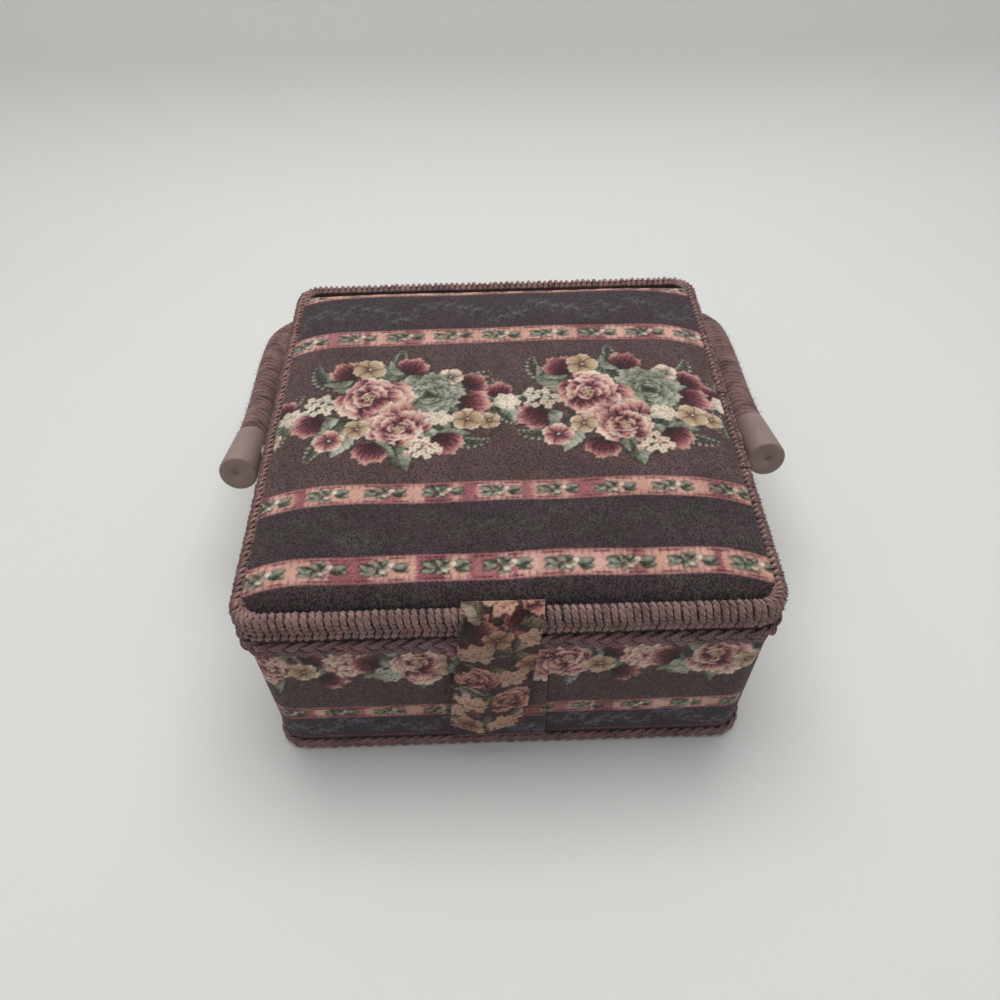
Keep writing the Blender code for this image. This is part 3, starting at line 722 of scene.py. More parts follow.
def flat_map(mesh: bpy.types.Mesh) -> np.ndarray:
    """Reads a mesh's UV map.

    Args:
        mesh: The mesh.

    Returns:
        The two readings at each corner of each face, one corner a row.
    """
    flat = np.empty(len(mesh.loops) * 2, np.float32)
    mesh.uv_layers["UVMap"].data.foreach_get("uv", flat)
    return flat.reshape(-1, 2)


def face_out(form: bmesh.types.BMesh) -> None:
    """Turns the faces of a closed form to point out."""
    bmesh.ops.recalc_face_normals(form, faces=form.faces)


def hoop_mesh(
    name: str,
    rings: Sequence[tuple[RoundedLoop, float, float]],
    across: Sequence[float],
    columns: int,
    finishing: Callable[[bmesh.types.BMesh], None] | None = None,
) -> bpy.types.Mesh:
    """A closed hoop of cloth, with its last row joined to the first.

    Args:
        name: The mesh's name.
        rings: The loop, outset and height of each row.
        across: What the UV map reads across at each row, with the first row's second reading last.
        columns: How many faces go round.
        finishing: Further bmesh work on the hoop.

    Returns:
        The mesh. Along it the UV map gives metres.
    """
    last = len(rings)

    def place(u: np.ndarray, v: np.ndarray) -> np.ndarray:
        points = np.zeros((len(u), 3))
        rows = np.rint(v * last).astype(int) % last
        for row, (loop, outset, height) in enumerate(rings):
            chosen = rows == row
            points[chosen, :2] = loop.at(u[chosen] * loop.length, outset)
            points[chosen, 2] = height
        return points

    size = (rings[0][0].length, float(last))
    mesh = cloth_mesh(name, columns, last, place, size, merge=True, finishing=finishing)
    flat = flat_map(mesh)
    flat[:, 1] = np.asarray(across)[np.clip(np.rint(flat[:, 1]).astype(int), 0, last)]
    mesh.uv_layers["UVMap"].data.foreach_set("uv", flat.ravel())
    return mesh


def spun(
    profile: Sequence[Sequence[float]], centre: Sequence[float], axis: Sequence[float], steps: int
) -> bmesh.types.BMesh:
    """Spins a profile to a closed round form.

    Args:
        profile: Its points, from the axis and back to it.
        centre: A point on the axis.
        axis: The way that the axis runs.
        steps: How many steps a whole turn has.

    Returns:
        The bmesh, its faces pointing out.
    """
    form = bmesh.new()
    line = [form.verts.new(point) for point in profile]
    edges = [form.edges.new(pair) for pair in zip(line, line[1:])]
    bmesh.ops.spin(
        form, geom=line + edges, cent=centre, axis=axis, angle=math.tau, steps=steps, use_merge=True
    )
    bmesh.ops.remove_doubles(form, verts=form.verts, dist=WELD)
    bmesh.ops.recalc_face_normals(form, faces=form.faces)
    return form


class PrintedLength:
    """A length of cloth with a design of flowers and stripes painted on it, in millimetres.

    The design is the builder's own: camellias, dahlias, ferns and trailing leaves between stripes.
    """

    def __init__(self, left: float, low: float, width: float, height: float, cell: float, seed: int) -> None:
        """Lays out bare ground.

        Args:
            left: Its lowest x.
            low: Its lowest y.
            width: Its width.
            height: Its height.
            cell: The size of one painted cell.
            seed: What its chances start from.
        """
        self.left = left
        self.low = low
        self.cell = cell
        self.chance = np.random.default_rng(seed)
        self.x = (left + (np.arange(int(width / cell)) + 0.5) * cell)[None, :]
        self.y = (low + (np.arange(int(height / cell)) + 0.5) * cell)[:, None]
        self.colour = np.empty((self.y.size, self.x.size, 3))
        self.colour[:] = shade(Yarn.GROUND)

    def window(self, x: float, y: float, reach: float) -> tuple[Cells, np.ndarray, np.ndarray]:
        """The cells round a place.

        Args:
            x: The place along.
            y: The place across.
            reach: Half the window's side.

        Returns:
            The cells, and how far each lies from the place along and across.
        """
        columns, rows = (
            slice(*(max(int((at + side - low) / self.cell), 0) for side in (-reach, reach)))
            for at, low in ((x, self.left), (y, self.low))
        )
        return (rows, columns), self.x[:, columns] - x, self.y[rows] - y

    def pointed(
        self, x: float, y: float, length: float, width: float, angle: float
    ) -> tuple[Cells, np.ndarray, np.ndarray]:
        """The cells round a shape that points away from its root.

        Args:
            x: Its root along.
            y: Its root across.
            length: Its length.
            width: Its greatest width.
            angle: The way that it points, in radians.

        Returns:
            The cells, how far each lies along the shape, 0 to 1, and to its side, -1 to 1.
        """
        where, along, across = self.window(x, y, length + width)
        run = (along * math.cos(angle) + across * math.sin(angle)) / length
        return where, run, (across * math.cos(angle) - along * math.sin(angle)) / (width / 2)

    def lay(self, where: Cells, cover: np.ndarray, colour: np.ndarray) -> None:
        """Blends one colour, or one for each cell, over the share of each cell that is covered."""
        self.colour[where] += (colour - self.colour[where]) * np.clip(cover, 0, 1)[..., None]

    def dab(self, where: Cells, inside: np.ndarray, yarn: Yarn, cover: float) -> None:
        """Lays a flat shape, given how far each cell lies inside its edge."""
        self.lay(where, np.clip(inside / self.cell + 0.5, 0, 1) * cover, shade(yarn))

    def shape(
        self, where: Cells, inside: np.ndarray, colour: np.ndarray, dark: Yarn, gap: float = 0.9
    ) -> None:
        """Lays a shape over a soft dark gap.

        Args:
            where: The cells.
            inside: How far each lies inside the shape's edge.
            colour: One colour, or one for each cell.
            dark: The shade of the gap.
            gap: How dark the gap is, 0 to 1.
        """
        self.lay(where, np.clip(inside / 1.1 + 1.15, 0, 1) * gap, shade(dark))
        self.lay(where, inside / self.cell + 0.5, colour)

    def band(self, y: float, half: float, soft: float, yarn: Yarn) -> None:
        """Dyes a plain band right across.

        Args:
            y: Its middle.
            half: Half its height.
            soft: The width of its soft edges.
            yarn: Its shade.
        """
        self.lay((slice(None), slice(None)), (half - np.abs(self.y - y)) / soft, shade(yarn))

    def petal(self, x: float, y: float, length: float, width: float, angle: float, tones: Tones) -> None:
        """Paints one petal, streaked from its root and frilled at its tip.

        Args:
            x: Its root along.
            y: Its root across.
            length: Its length.
            width: Its greatest width.
            angle: The way that it points, in radians.
            tones: Its shades from root to tip.
        """
        where, run, side = self.pointed(x, y, length, width, angle)
        phase, bend, drift = self.chance.uniform(-1, 1, 3)
        t = np.clip(run, 0, 1)
        side = side + 0.5 * bend * t * (1 - t)
        frill = 0.045 * np.sin(side * 9 + 5 * phase) + 0.03 * np.sin(side * 19 + 2 * bend)
        tip = 1 - frill * np.clip(t * 2 - 0.8, 0, 1) - 0.09 * side**2
        t = np.clip(run / tip, 0, 1)
        half = np.sin(math.pi * t**1.6) ** 0.55
        inside = np.minimum((half - np.abs(side)) * width / 2, np.minimum(run, tip - run) * length)
        fan = side / np.maximum(half, 0.35)
        vein = 0.5 * np.cos(fan * 11 + 6 * phase) + 0.5 * np.cos(fan * 23 - 3 * phase)
        fade = t**1.7 * (1 + 0.14 * drift) + 0.22 * vein * np.sin(math.pi * t**0.8) + 0.10 * fan * t
        lip = np.clip(1 - inside / 0.8, 0, 1) * np.clip(t * 2.4 - 1, 0, 1)
        dark = Yarn.WINE if tones[0] != Yarn.PINE else Yarn.PINE
        self.shape(where, inside, graded(tones, fade + 0.45 * lip), dark, min(0.92, length / 9))

    def leaf(self, x: float, y: float, length: float, angle: float, pale: bool = False) -> None:
        """Paints a leaf with a toothed edge, a rib and veins, one half in the light.

        Args:
            x: Its root along.
            y: Its root across.
            length: Its length.
            angle: The way that it points, in radians.
            pale: Whether it is a pale leaf.
        """
        width = length * 0.6
        where, run, side = self.pointed(x, y, length, width, angle)
        bend = self.chance.uniform(-0.5, 0.5)
        t = np.clip(run, 0, 1)
        side = side + bend * np.sin(math.pi * t)
        teeth = 1 + 0.26 * (np.mod(t * 5.5, 1) - 0.5) * np.clip(4 * (1 - t), 0, 1)
        half = np.sin(math.pi * t**0.85) ** 0.85 * (1.12 - 0.5 * t) * teeth
        inside = np.minimum((half - np.abs(side)) * width / 2, np.minimum(run, 1 - run) * length * 2)
        low, high = (0.5, 1.0) if pale else (0.3, 0.76)
        tone = low + (high - low) * (0.5 + 0.45 * np.tanh(side * 3)) + 0.1 * np.cos(t * 9 + 4 * bend)
        vein = np.clip(np.cos((t * 5 - np.abs(side) * 1.1) * math.tau) - 0.4, 0, 1)
        rib = np.clip(1 - np.abs(side) * width / 0.8, 0, 1)
        lip = np.clip(1 - inside / 0.6, 0, 1) * (side > 0)
        self.shape(where, inside, graded(SAGE_TONES, tone - 0.3 * vein + 0.3 * rib + 0.3 * lip), Yarn.PINE)

    def disc(self, x: float, y: float, radius: float, yarn: Yarn, cover: float = 1.0) -> None:
        """Paints a round spot."""
        where, along, across = self.window(x, y, radius + 1)
        self.dab(where, radius - np.hypot(along, across), yarn, cover)

    def camellia(self, x: float, y: float, radius: float, tones: Tones, lean: float) -> None:
        """Paints an open flower seen from one side: four rings of petals round a tuft.

        Args:
            x: Its heart along.
            y: Its heart across.
            radius: Its radius.
            tones: Its petals' shades from root to tip.
            lean: The side that it is seen from, in radians.
        """
        for count, reach, breadth in ((5, 1.0, 1.2), (5, 0.78, 0.9), (3, 0.52, 0.72), (3, 0.3, 0.36)):
            turn = self.chance.uniform(0, math.tau)
            for k in range(count):
                angle = turn + math.tau * (k + self.chance.uniform(-0.16, 0.16)) / count
                length = radius * reach * (1 - 0.34 * math.cos(angle - lean))
                self.petal(x, y, length, radius * breadth, angle, tones)
        for k in range(11):
            far = radius * 0.055 * math.sqrt(k)
            cx = x + far * math.cos(GOLDEN * k)
            self.disc(cx, y + far * math.sin(GOLDEN * k), radius * 0.035 + 0.2, Yarn.OCHRE)

    def dahlia(self, x: float, y: float, radius: float, tones: Tones) -> None:
        """Paints a full flower of cupped petals in rings.

        Args:
            x: Its heart along.
            y: Its heart across.
            radius: Its radius.
            tones: Its petals' shades from root to tip.
        """
        for count, reach in ((9, 1.0), (8, 0.8), (6, 0.58), (5, 0.4), (3, 0.24)):
            turn = self.chance.uniform(0, math.tau)
            for k in range(count):
                angle = turn + math.tau * (k + self.chance.uniform(-0.2, 0.2)) / count
                length = radius * reach * self.chance.uniform(0.9, 1.06)
                self.petal(x, y, length, radius * 0.68 * math.sqrt(reach), angle, tones)

    def primrose(self, x: float, y: float, radius: float, tones: Tones) -> None:
        """Paints a small flat flower of five petals round a dark eye.

        Args:
            x: Its heart along.
            y: Its heart across.
            radius: Its radius.
            tones: Its shades, from its heart to its petals' tips.
        """
        turn = self.chance.uniform(0, math.tau)
        for k in range(5):
            self.petal(x, y, radius, radius * 1.05, turn + math.tau * k / 5, tones)
        self.disc(x, y, radius * 0.16, Yarn.WINE)
        self.disc(x + 0.25, y + 0.25, radius * 0.08, Yarn.CREAM)

    def florets(self, x: float, y: float, radius: float, tones: Tones) -> None:
        """Paints a head of small four-petalled flowers in two tones.

        Args:
            x: Its heart along.
            y: Its heart across.
            radius: Its radius.
            tones: Its shades, from its heart to its petals' tips.
        """
        self.disc(x, y, radius * 0.9, Yarn.PINE, 0.8)
        for k in range(15):
            far = radius * math.sqrt((k + 0.5) / 15)
            cx = x + far * math.cos(k * GOLDEN) + self.chance.uniform(-0.5, 0.5)
            cy = y + 0.85 * far * math.sin(k * GOLDEN) + self.chance.uniform(-0.5, 0.5)
            turn = self.chance.uniform(0, 1.5)
            for arm in range(4):
                angle = turn + math.tau * arm / 4
                tone = tones[-1] if arm < 2 or k % 3 else tones[-2]
                self.disc(cx + 1.25 * math.cos(angle), cy + 1.25 * math.sin(angle), 1.1, tone, 0.85)
            self.disc(cx, cy, 0.45, tones[0])

    def tulip(self, x: float, y: float, length: float, angle: float) -> None:
        """Paints a wine-red tulip from the side, its outer petals folded back, and a leaf under it.

        Args:
            x: Its root along.
            y: Its root across.
            length: Its length.
            angle: The way that it points, in radians.
        """
        self.leaf(x, y, length, angle + 1.1)
        for swing, share in ((-0.5, 0.9), (0.5, 0.9), (0.0, 1.0)):
            self.petal(x, y, length * share, length * 0.62, angle + swing, WINE_TONES)

    def fern(self, x: float, y: float, length: float, angle: float) -> None:
        """Paints a frond of paired leaflets that curves as it goes.

        Args:
            x: Its root along.
            y: Its root across.
            length: Its length.
            angle: The way that it points, in radians.
        """
        curve = self.chance.uniform(-0.7, 0.7)
        steps = 24
        for k in range(steps):
            t = k / steps
            px = x + length * t * math.cos(angle + curve * t)
            py = y + length * t * math.sin(angle + curve * t)
            self.disc(px, py, 0.35, Yarn.SAGE)
            if k % 3 == 0:
                for side in (-0.85, 0.85):
                    reach = length * 0.24 * math.sin(math.pi * (0.25 + 0.7 * t))
                    self.petal(px, py, reach, reach * 0.36, angle + curve * t + side, SAGE_TONES)

    def vine(self, start: float, end: float, y: float, swing: float) -> None:
        """Paints a trailing stem with leaves on alternate sides.

        Args:
            start: Where it starts along.
            end: Where it ends along.
            y: Its middle across.
            swing: How far it swings to each side.
        """
        for index in range(math.ceil((end - start) * 2)):
            x = start + index / 2
            py = y + swing * math.sin(x / 17)
            self.disc(x, py, 0.55, Yarn.LEAF)
            if index % 16 == 0:
                side = 1 if index % 32 else -1
                self.leaf(x, py, 11, side * 1.0, pale=side > 0)
                self.leaf(x + 2, py, 8, -side * 0.7, pale=side < 0)

    def scroll(self, y: float, height: float, start: float, end: float, yarn: Yarn, cover: float) -> None:
        """Paints a faint climbing twig along a band, tone on tone.

        Args:
            y: The band's middle.
            height: The band's height.
            start: Where the twig starts along.
            end: Where it ends.
            yarn: Its shade.
            cover: How much it covers, 0 to 1.
        """
        x = start
        while x < end:
            centre = y + height * 0.16 * math.sin(x / 9)
            sign = 1 if int(x) % 2 else -1
            for step in range(30):
                t = step / 30
                px = x + 12 * t
                py = centre + sign * height * 0.30 * math.sin(math.pi * t)
                self.disc(px, py, 0.45, yarn, cover)
                if step % 5 == 2:
                    angle = sign * (0.6 if step % 2 else -1.0) + self.chance.uniform(-0.5, 0.5)
                    where, run, side = self.pointed(px, py, 4.6, 2.4, angle)
                    inside = (np.sin(math.pi * np.clip(run, 0, 1)) - np.abs(side)) * 1.2
                    self.dab(where, np.minimum(inside, np.minimum(run, 1 - run) * 4.6), yarn, cover)
            x += self.chance.uniform(7, 11)

    def stripe(self, y: float, height: float, sprig_step: float, start: float, end: float) -> None:
        """Paints a stripe of ragged colour blocks between edge lines, with a sprig every so often.

        Args:
            y: Its middle.
            height: Its height.
            sprig_step: How far apart its sprigs lie.
            start: Where the first sprig lies.
            end: Where the sprigs end.
        """
        rows = slice(*np.searchsorted(self.y[:, 0], (y - height / 2 - 2, y + height / 2 + 2)))
        x = self.x
        off = self.y[rows] - y - 0.5 * np.sin(x / 31) - 0.25 * np.sin(x / 11 + y)
        bounds = [self.left - 5.0]
        while bounds[-1] < self.left + x.size * self.cell:
            bounds.append(bounds[-1] + self.chance.uniform(1.5, 13.0))
        picks = self.chance.integers(0, len(STRIPE_TONES), len(bounds) + 1)
        table = np.array([shade(STRIPE_TONES[pick]) for pick in picks])
        tear = 2.2 * np.abs(np.mod(off * 0.9 + 0.3 * np.sin(x * 0.9), 2) - 1) + np.sin(off * 3.7 + x * 0.35)
        colour = table[np.searchsorted(bounds, x + tear * np.sin(x / 3.1))]
        # Dry brush strokes run across the stripe from both edges, 2 to 5 mm apart
        comb = np.sin(x * 1.9 + 2 * np.sin(x / 7)) + 0.7 * np.sin(x * 3.3 + 1)
        reach = np.abs(off) / (height / 2) + 0.30 * comb - 0.75
        stroke = np.clip(reach * 4, 0, 1)[..., None] * 0.75
        colour = colour + (shade(Yarn.DUSTY) * 0.8 - colour) * stroke
        colour = colour * (1 + 0.10 * np.sin(x * 1.7 + off * 0.9) * np.sin(off * 2.3 - x * 0.6))[..., None]
        edge = height / 2 - np.abs(off)
        dash = 0.55 + 0.45 * np.clip(3 * np.sin(x / 2.9 + np.sin(x / 9)), -1, 1)
        line = np.clip(1.3 - np.abs(edge - 1.6) / 0.5, 0, 1) * dash
        selvedge = np.clip(1.2 - np.abs(edge - 0.5) / 0.5, 0, 1)
        for yarn, share in ((Yarn.BURGUNDY, line), (Yarn.ROSE, selvedge)):
            colour = colour + (shade(yarn) - colour) * share[..., None]
        self.lay((rows, slice(None)), edge / self.cell + 0.5, colour)
        for at in np.arange(start, end, sprig_step):
            self.sprig(float(at), y, height / 13)

    def sprig(self, x: float, y: float, size: float) -> None:
        """Paints a small leafy sprig with pale berries, lying along a stripe.

        Args:
            x: Its middle along.
            y: Its middle across.
            size: Its scale: 1 is about 13 mm wide.
        """
        leaves = ((-4.5, 6.0, 2.8), (-2.5, 5.0, 0.8), (3.5, 6.4, 0.3), (-1.0, 5.0, 2.3))
        for sign in (-1, 1):
            for start, reach, angle in leaves:
                self.leaf(x + start * size, y, reach * size, sign * angle)
        for k in range(3):
            self.petal(x + (1.6 * k - 3) * size, y, 4.2 * size, 2.4 * size, 0.5 * k - 0.5, PALE_TONES)

    def bouquet(self, x: float, y: float, size: float) -> None:
        """Paints a loose bouquet, its leaves and fronds first and its largest flowers last.

        Args:
            x: Its middle along.
            y: Its middle across.
            size: Its scale: 1 is about 100 mm wide.
        """
        for dx, dy, reach, angle in (
            (26, 14, 24, 0.5), (-28, 16, 22, 2.5), (-24, -16, 22, 3.8), (24, -20, 22, 5.6), (2, 26, 19, 1.5),
        ):
            self.fern(x + dx * size, y + dy * size, reach * size, angle)
        for k in range(17):
            angle = math.tau * (k + 0.3 * math.sin(5.0 * k)) / 17
            far = (19 + 6 * math.sin(3.0 * k)) * size
            reach = (18 + 4 * math.sin(2.0 * k)) * size
            px = x + far * math.cos(angle)
            py = y + 0.9 * far * math.sin(angle)
            self.leaf(px, py, reach, angle + 0.3 * math.sin(7.0 * k), k % 3 != 1)
        for dx, dy, reach, angle in (
            (30, 4, 17, -0.2), (-19, 22, 15, 2.2), (6, 25, 14, 1.1), (-31, -6, 15, 3.5), (22, -19, 15, 5.2),
            (-6, -24, 14, 4.4), (34, 14, 12, 0.7),
        ):
            self.tulip(x + dx * size, y + dy * size, reach * size, angle)
        for paint, dx, dy, radius, tones, *lean in (
            (self.florets, -33, 4, 8.5, MIST_TONES), (self.florets, 15, -28, 8, BLUSH_TONES),
            (self.primrose, -12, 29, 8, GOLD_TONES), (self.primrose, 35, -9, 7.5, GOLD_TONES),
            (self.primrose, -27, -21, 7.5, BLUSH_TONES), (self.primrose, 27, 22, 6.5, PALE_TONES),
            (self.dahlia, 17, 9, 16.5, SAGE_TONES), (self.camellia, -11, 8, 17.5, ROSE_TONES, 2.4),
            (self.camellia, 4, -15, 14.5, ROSE_TONES, 5.0), (self.primrose, -15, -14, 6.5, GOLD_TONES),
            (self.florets, 22, -8, 5.5, MIST_TONES),
        ):
            paint(x + dx * size, y + dy * size, radius * size, tones, *lean)

    def sample(self, places: np.ndarray) -> np.ndarray:
        """Reads the painted colours at places, softened over the spacing of a print's corners.

        Args:
            places: The x and y of each place.

        Returns:
            A linear colour with alpha for each place.
        """
        picture = self.colour
        reach = max(int(PRINT_SPACING / self.cell / 2), 0)
        for axis in (0, 1):
            parts = [np.roll(picture, shift, axis) for shift in range(-reach, reach + 1)]
            picture = sum(parts) / len(parts)
        column = np.clip((places[:, 0] - self.left) / self.cell - 0.5, 0, picture.shape[1] - 1.001)
        row = np.clip((places[:, 1] - self.low) / self.cell - 0.5, 0, picture.shape[0] - 1.001)
        c = column.astype(int)
        r = row.astype(int)
        dc = (column - c)[:, None]
        dr = (row - r)[:, None]
        lower = picture[r, c] * (1 - dc) + picture[r, c + 1] * dc
        upper = picture[r + 1, c] * (1 - dc) + picture[r + 1, c + 1] * dc
        return np.column_stack([np.clip(lower * (1 - dr) + upper * dr, 0, 1), np.ones(len(places))])

    def print_on(self, mesh: bpy.types.Mesh, to_design: Callable[[np.ndarray], np.ndarray]) -> None:
        """Prints the painted length on a mesh, as its colour attribute.

        Args:
            mesh: The mesh, with its UV map in metres.
            to_design: Turns the map's metres to the design's millimetres.
        """
        colours = self.sample(to_design(flat_map(mesh).astype(float)))
        layer = mesh.color_attributes.new("print", "BYTE_COLOR", "CORNER")
        layer.data.foreach_set("color", colours.astype(np.float32).ravel())


@dataclass
class Studio:
    """The camera at the photograph's angle, a pale sweep and soft lamps."""

    place: Spot = (-0.00687, -0.37594, 0.44202)
    yaw: float = 0.0134
    pitch: float = 0.8036
    roll: float = -0.0184
    lens: float = 32.62
    floor_colour: str = "#d9d9d6"
    sky_colour: str = "#f4f5f7"
    floor_reach: float = 3.0
    wall_distance: float = 0.52
    wall_bend: float = 0.12
    wall_height: float = 2.5
    lamp_power: float = 17.2
    world_strength: float = 0.43

    def build(self) -> None:
        """Sets the view, the camera, the sweep, the world's plain soft light and the lamps."""
        scene = bpy.context.scene
        scene.view_settings.view_transform = "Standard"
        data = bpy.data.cameras.new("camera")
        data.lens = self.lens
        data.sensor_width = 36
        data.clip_start = 0.01
        scene.camera = placed("camera", data)
        heading = Matrix.Rotation(-self.yaw, 4, "Z") @ Matrix.Rotation(math.pi / 2 - self.pitch, 4, "X")
        tilt = Matrix.Rotation(self.roll, 4, "Z")
        scene.camera.matrix_world = Matrix.Translation(self.place) @ heading @ tilt
        world = bpy.data.worlds.new("studio")
        world.use_nodes = True
        sky = {"Color": linear(self.sky_colour), "Strength": self.world_strength}
        plug(world.node_tree.nodes["Background"], sky)
        scene.world = world
        self.add_sweep()
        for name, place, target, size, share in (
            ("top_lamp", (0.0, 0.30, 1.25), (0.0, -0.02, 0.05), 1.1, 1.0),
            ("front_lamp", (-0.5, -1.1, 0.9), (0.0, 0.0, 0.05), 0.9, 0.09),
        ):
            light = bpy.data.lights.new(name, "AREA")
            light.size = size
            light.energy = self.lamp_power * share
            lamp = placed(name, light)
            lamp.location = place
            lamp.rotation_euler = (Vector(target) - Vector(place)).to_track_quat("-Z", "Y").to_euler()

    def add_sweep(self) -> None:
        """Adds the pale floor that curves up into a wall behind."""
        form = bmesh.new()
        bend = self.wall_bend
        foot = self.wall_distance - bend
        profile = [(-self.floor_reach, 0.0), (foot, 0.0)]
        for step in range(1, 9):
            angle = math.pi / 2 * step / 8
            profile.append((foot + bend * math.sin(angle), bend - bend * math.cos(angle)))
        profile.append((self.wall_distance, self.wall_height))
        line = [form.verts.new((-self.floor_reach, y, z)) for y, z in profile]
        edges = [form.edges.new(pair) for pair in zip(line, line[1:])]
        grown = bmesh.ops.extrude_edge_only(form, edges=edges)["geom"]
        moved = [item for item in grown if isinstance(item, bmesh.types.BMVert)]
        bmesh.ops.translate(form, verts=moved, vec=(2 * self.floor_reach, 0.0, 0.0))
        bmesh.ops.recalc_face_normals(form, faces=form.faces)
        floor = max(form.faces, key=lambda face: face.calc_area())
        if floor.normal.z < 0:
            bmesh.ops.reverse_faces(form, faces=form.faces)
        sweep = placed("studio_sweep", mesh_of("studio_sweep", form))
        paper = bpy.data.materials.new("matte_paper_sweep")
        paper.use_nodes = True
        tree = paper.node_tree
        shader = tree.nodes["Principled BSDF"]
        matte = {"Base Color": linear(self.floor_colour), "Roughness": 0.9, "Specular IOR Level": 0.1}
        plug(shader, matte)
        # A view from behind the wall looks through the wall's back, which still keeps its shade
        ray = add(tree, "LightPath", out="Is Camera Ray")
        side = add(tree, "NewGeometry", out="Backfacing")
        back = add(tree, "Math", {0: ray, 1: side}, operation="MULTIPLY")
        mixed = add(tree, "MixShader", {0: back, 1: shader.outputs[0], 2: add(tree, "BsdfTransparent")})
        plug(tree.nodes["Material Output"], {"Surface": mixed})
        sweep.data.materials.append(paper)


@dataclass
class Plait:
    """A flat plait of three strands, each of three thin cords side by side, round a loop."""

    loop: RoundedLoop
    middle: float
    swing: float
    cord_step: float
    period: float
    weave: float
    radius: float
    outset: float
    point_step: float = 0.0012
    crown: float = 0.00018

    def build(self, name: str, node: str) -> None:
        """Lays the nine cords as one piece.

        Args:
            name: The piece's name.
            node: The frame's node that it stands for.
        """
        turns = round(self.loop.length / self.period)
        count = int(self.loop.length / self.point_step)
        s = np.arange(count) * self.loop.length / count
        paths = []
        for strand in range(3):
            theta = math.tau * (turns * s / self.loop.length + strand / 3)
            ease = 0.16 * np.sin(s * 61 + strand) + 0.1 * np.sin(s * 137 + 2 * strand)
            rise = self.swing * np.sin(theta + ease)
            slope = self.swing * math.tau * turns / self.loop.length * np.cos(theta + ease)
            norm = np.hypot(1, slope)
            for cord in (-1, 0, 1):
                off = cord * self.cord_step
                crown = self.outset + self.weave * np.sin(2 * theta) + (0 if cord else self.crown)
                flat = self.loop.at(s - slope * off / norm, crown)
                paths.append(np.column_stack([flat, self.middle + rise + off / norm]))
        piece(name, cord_mesh(name, paths, self.radius, closed=True), SHOP.fine_cord, Body.BASKET, [node])


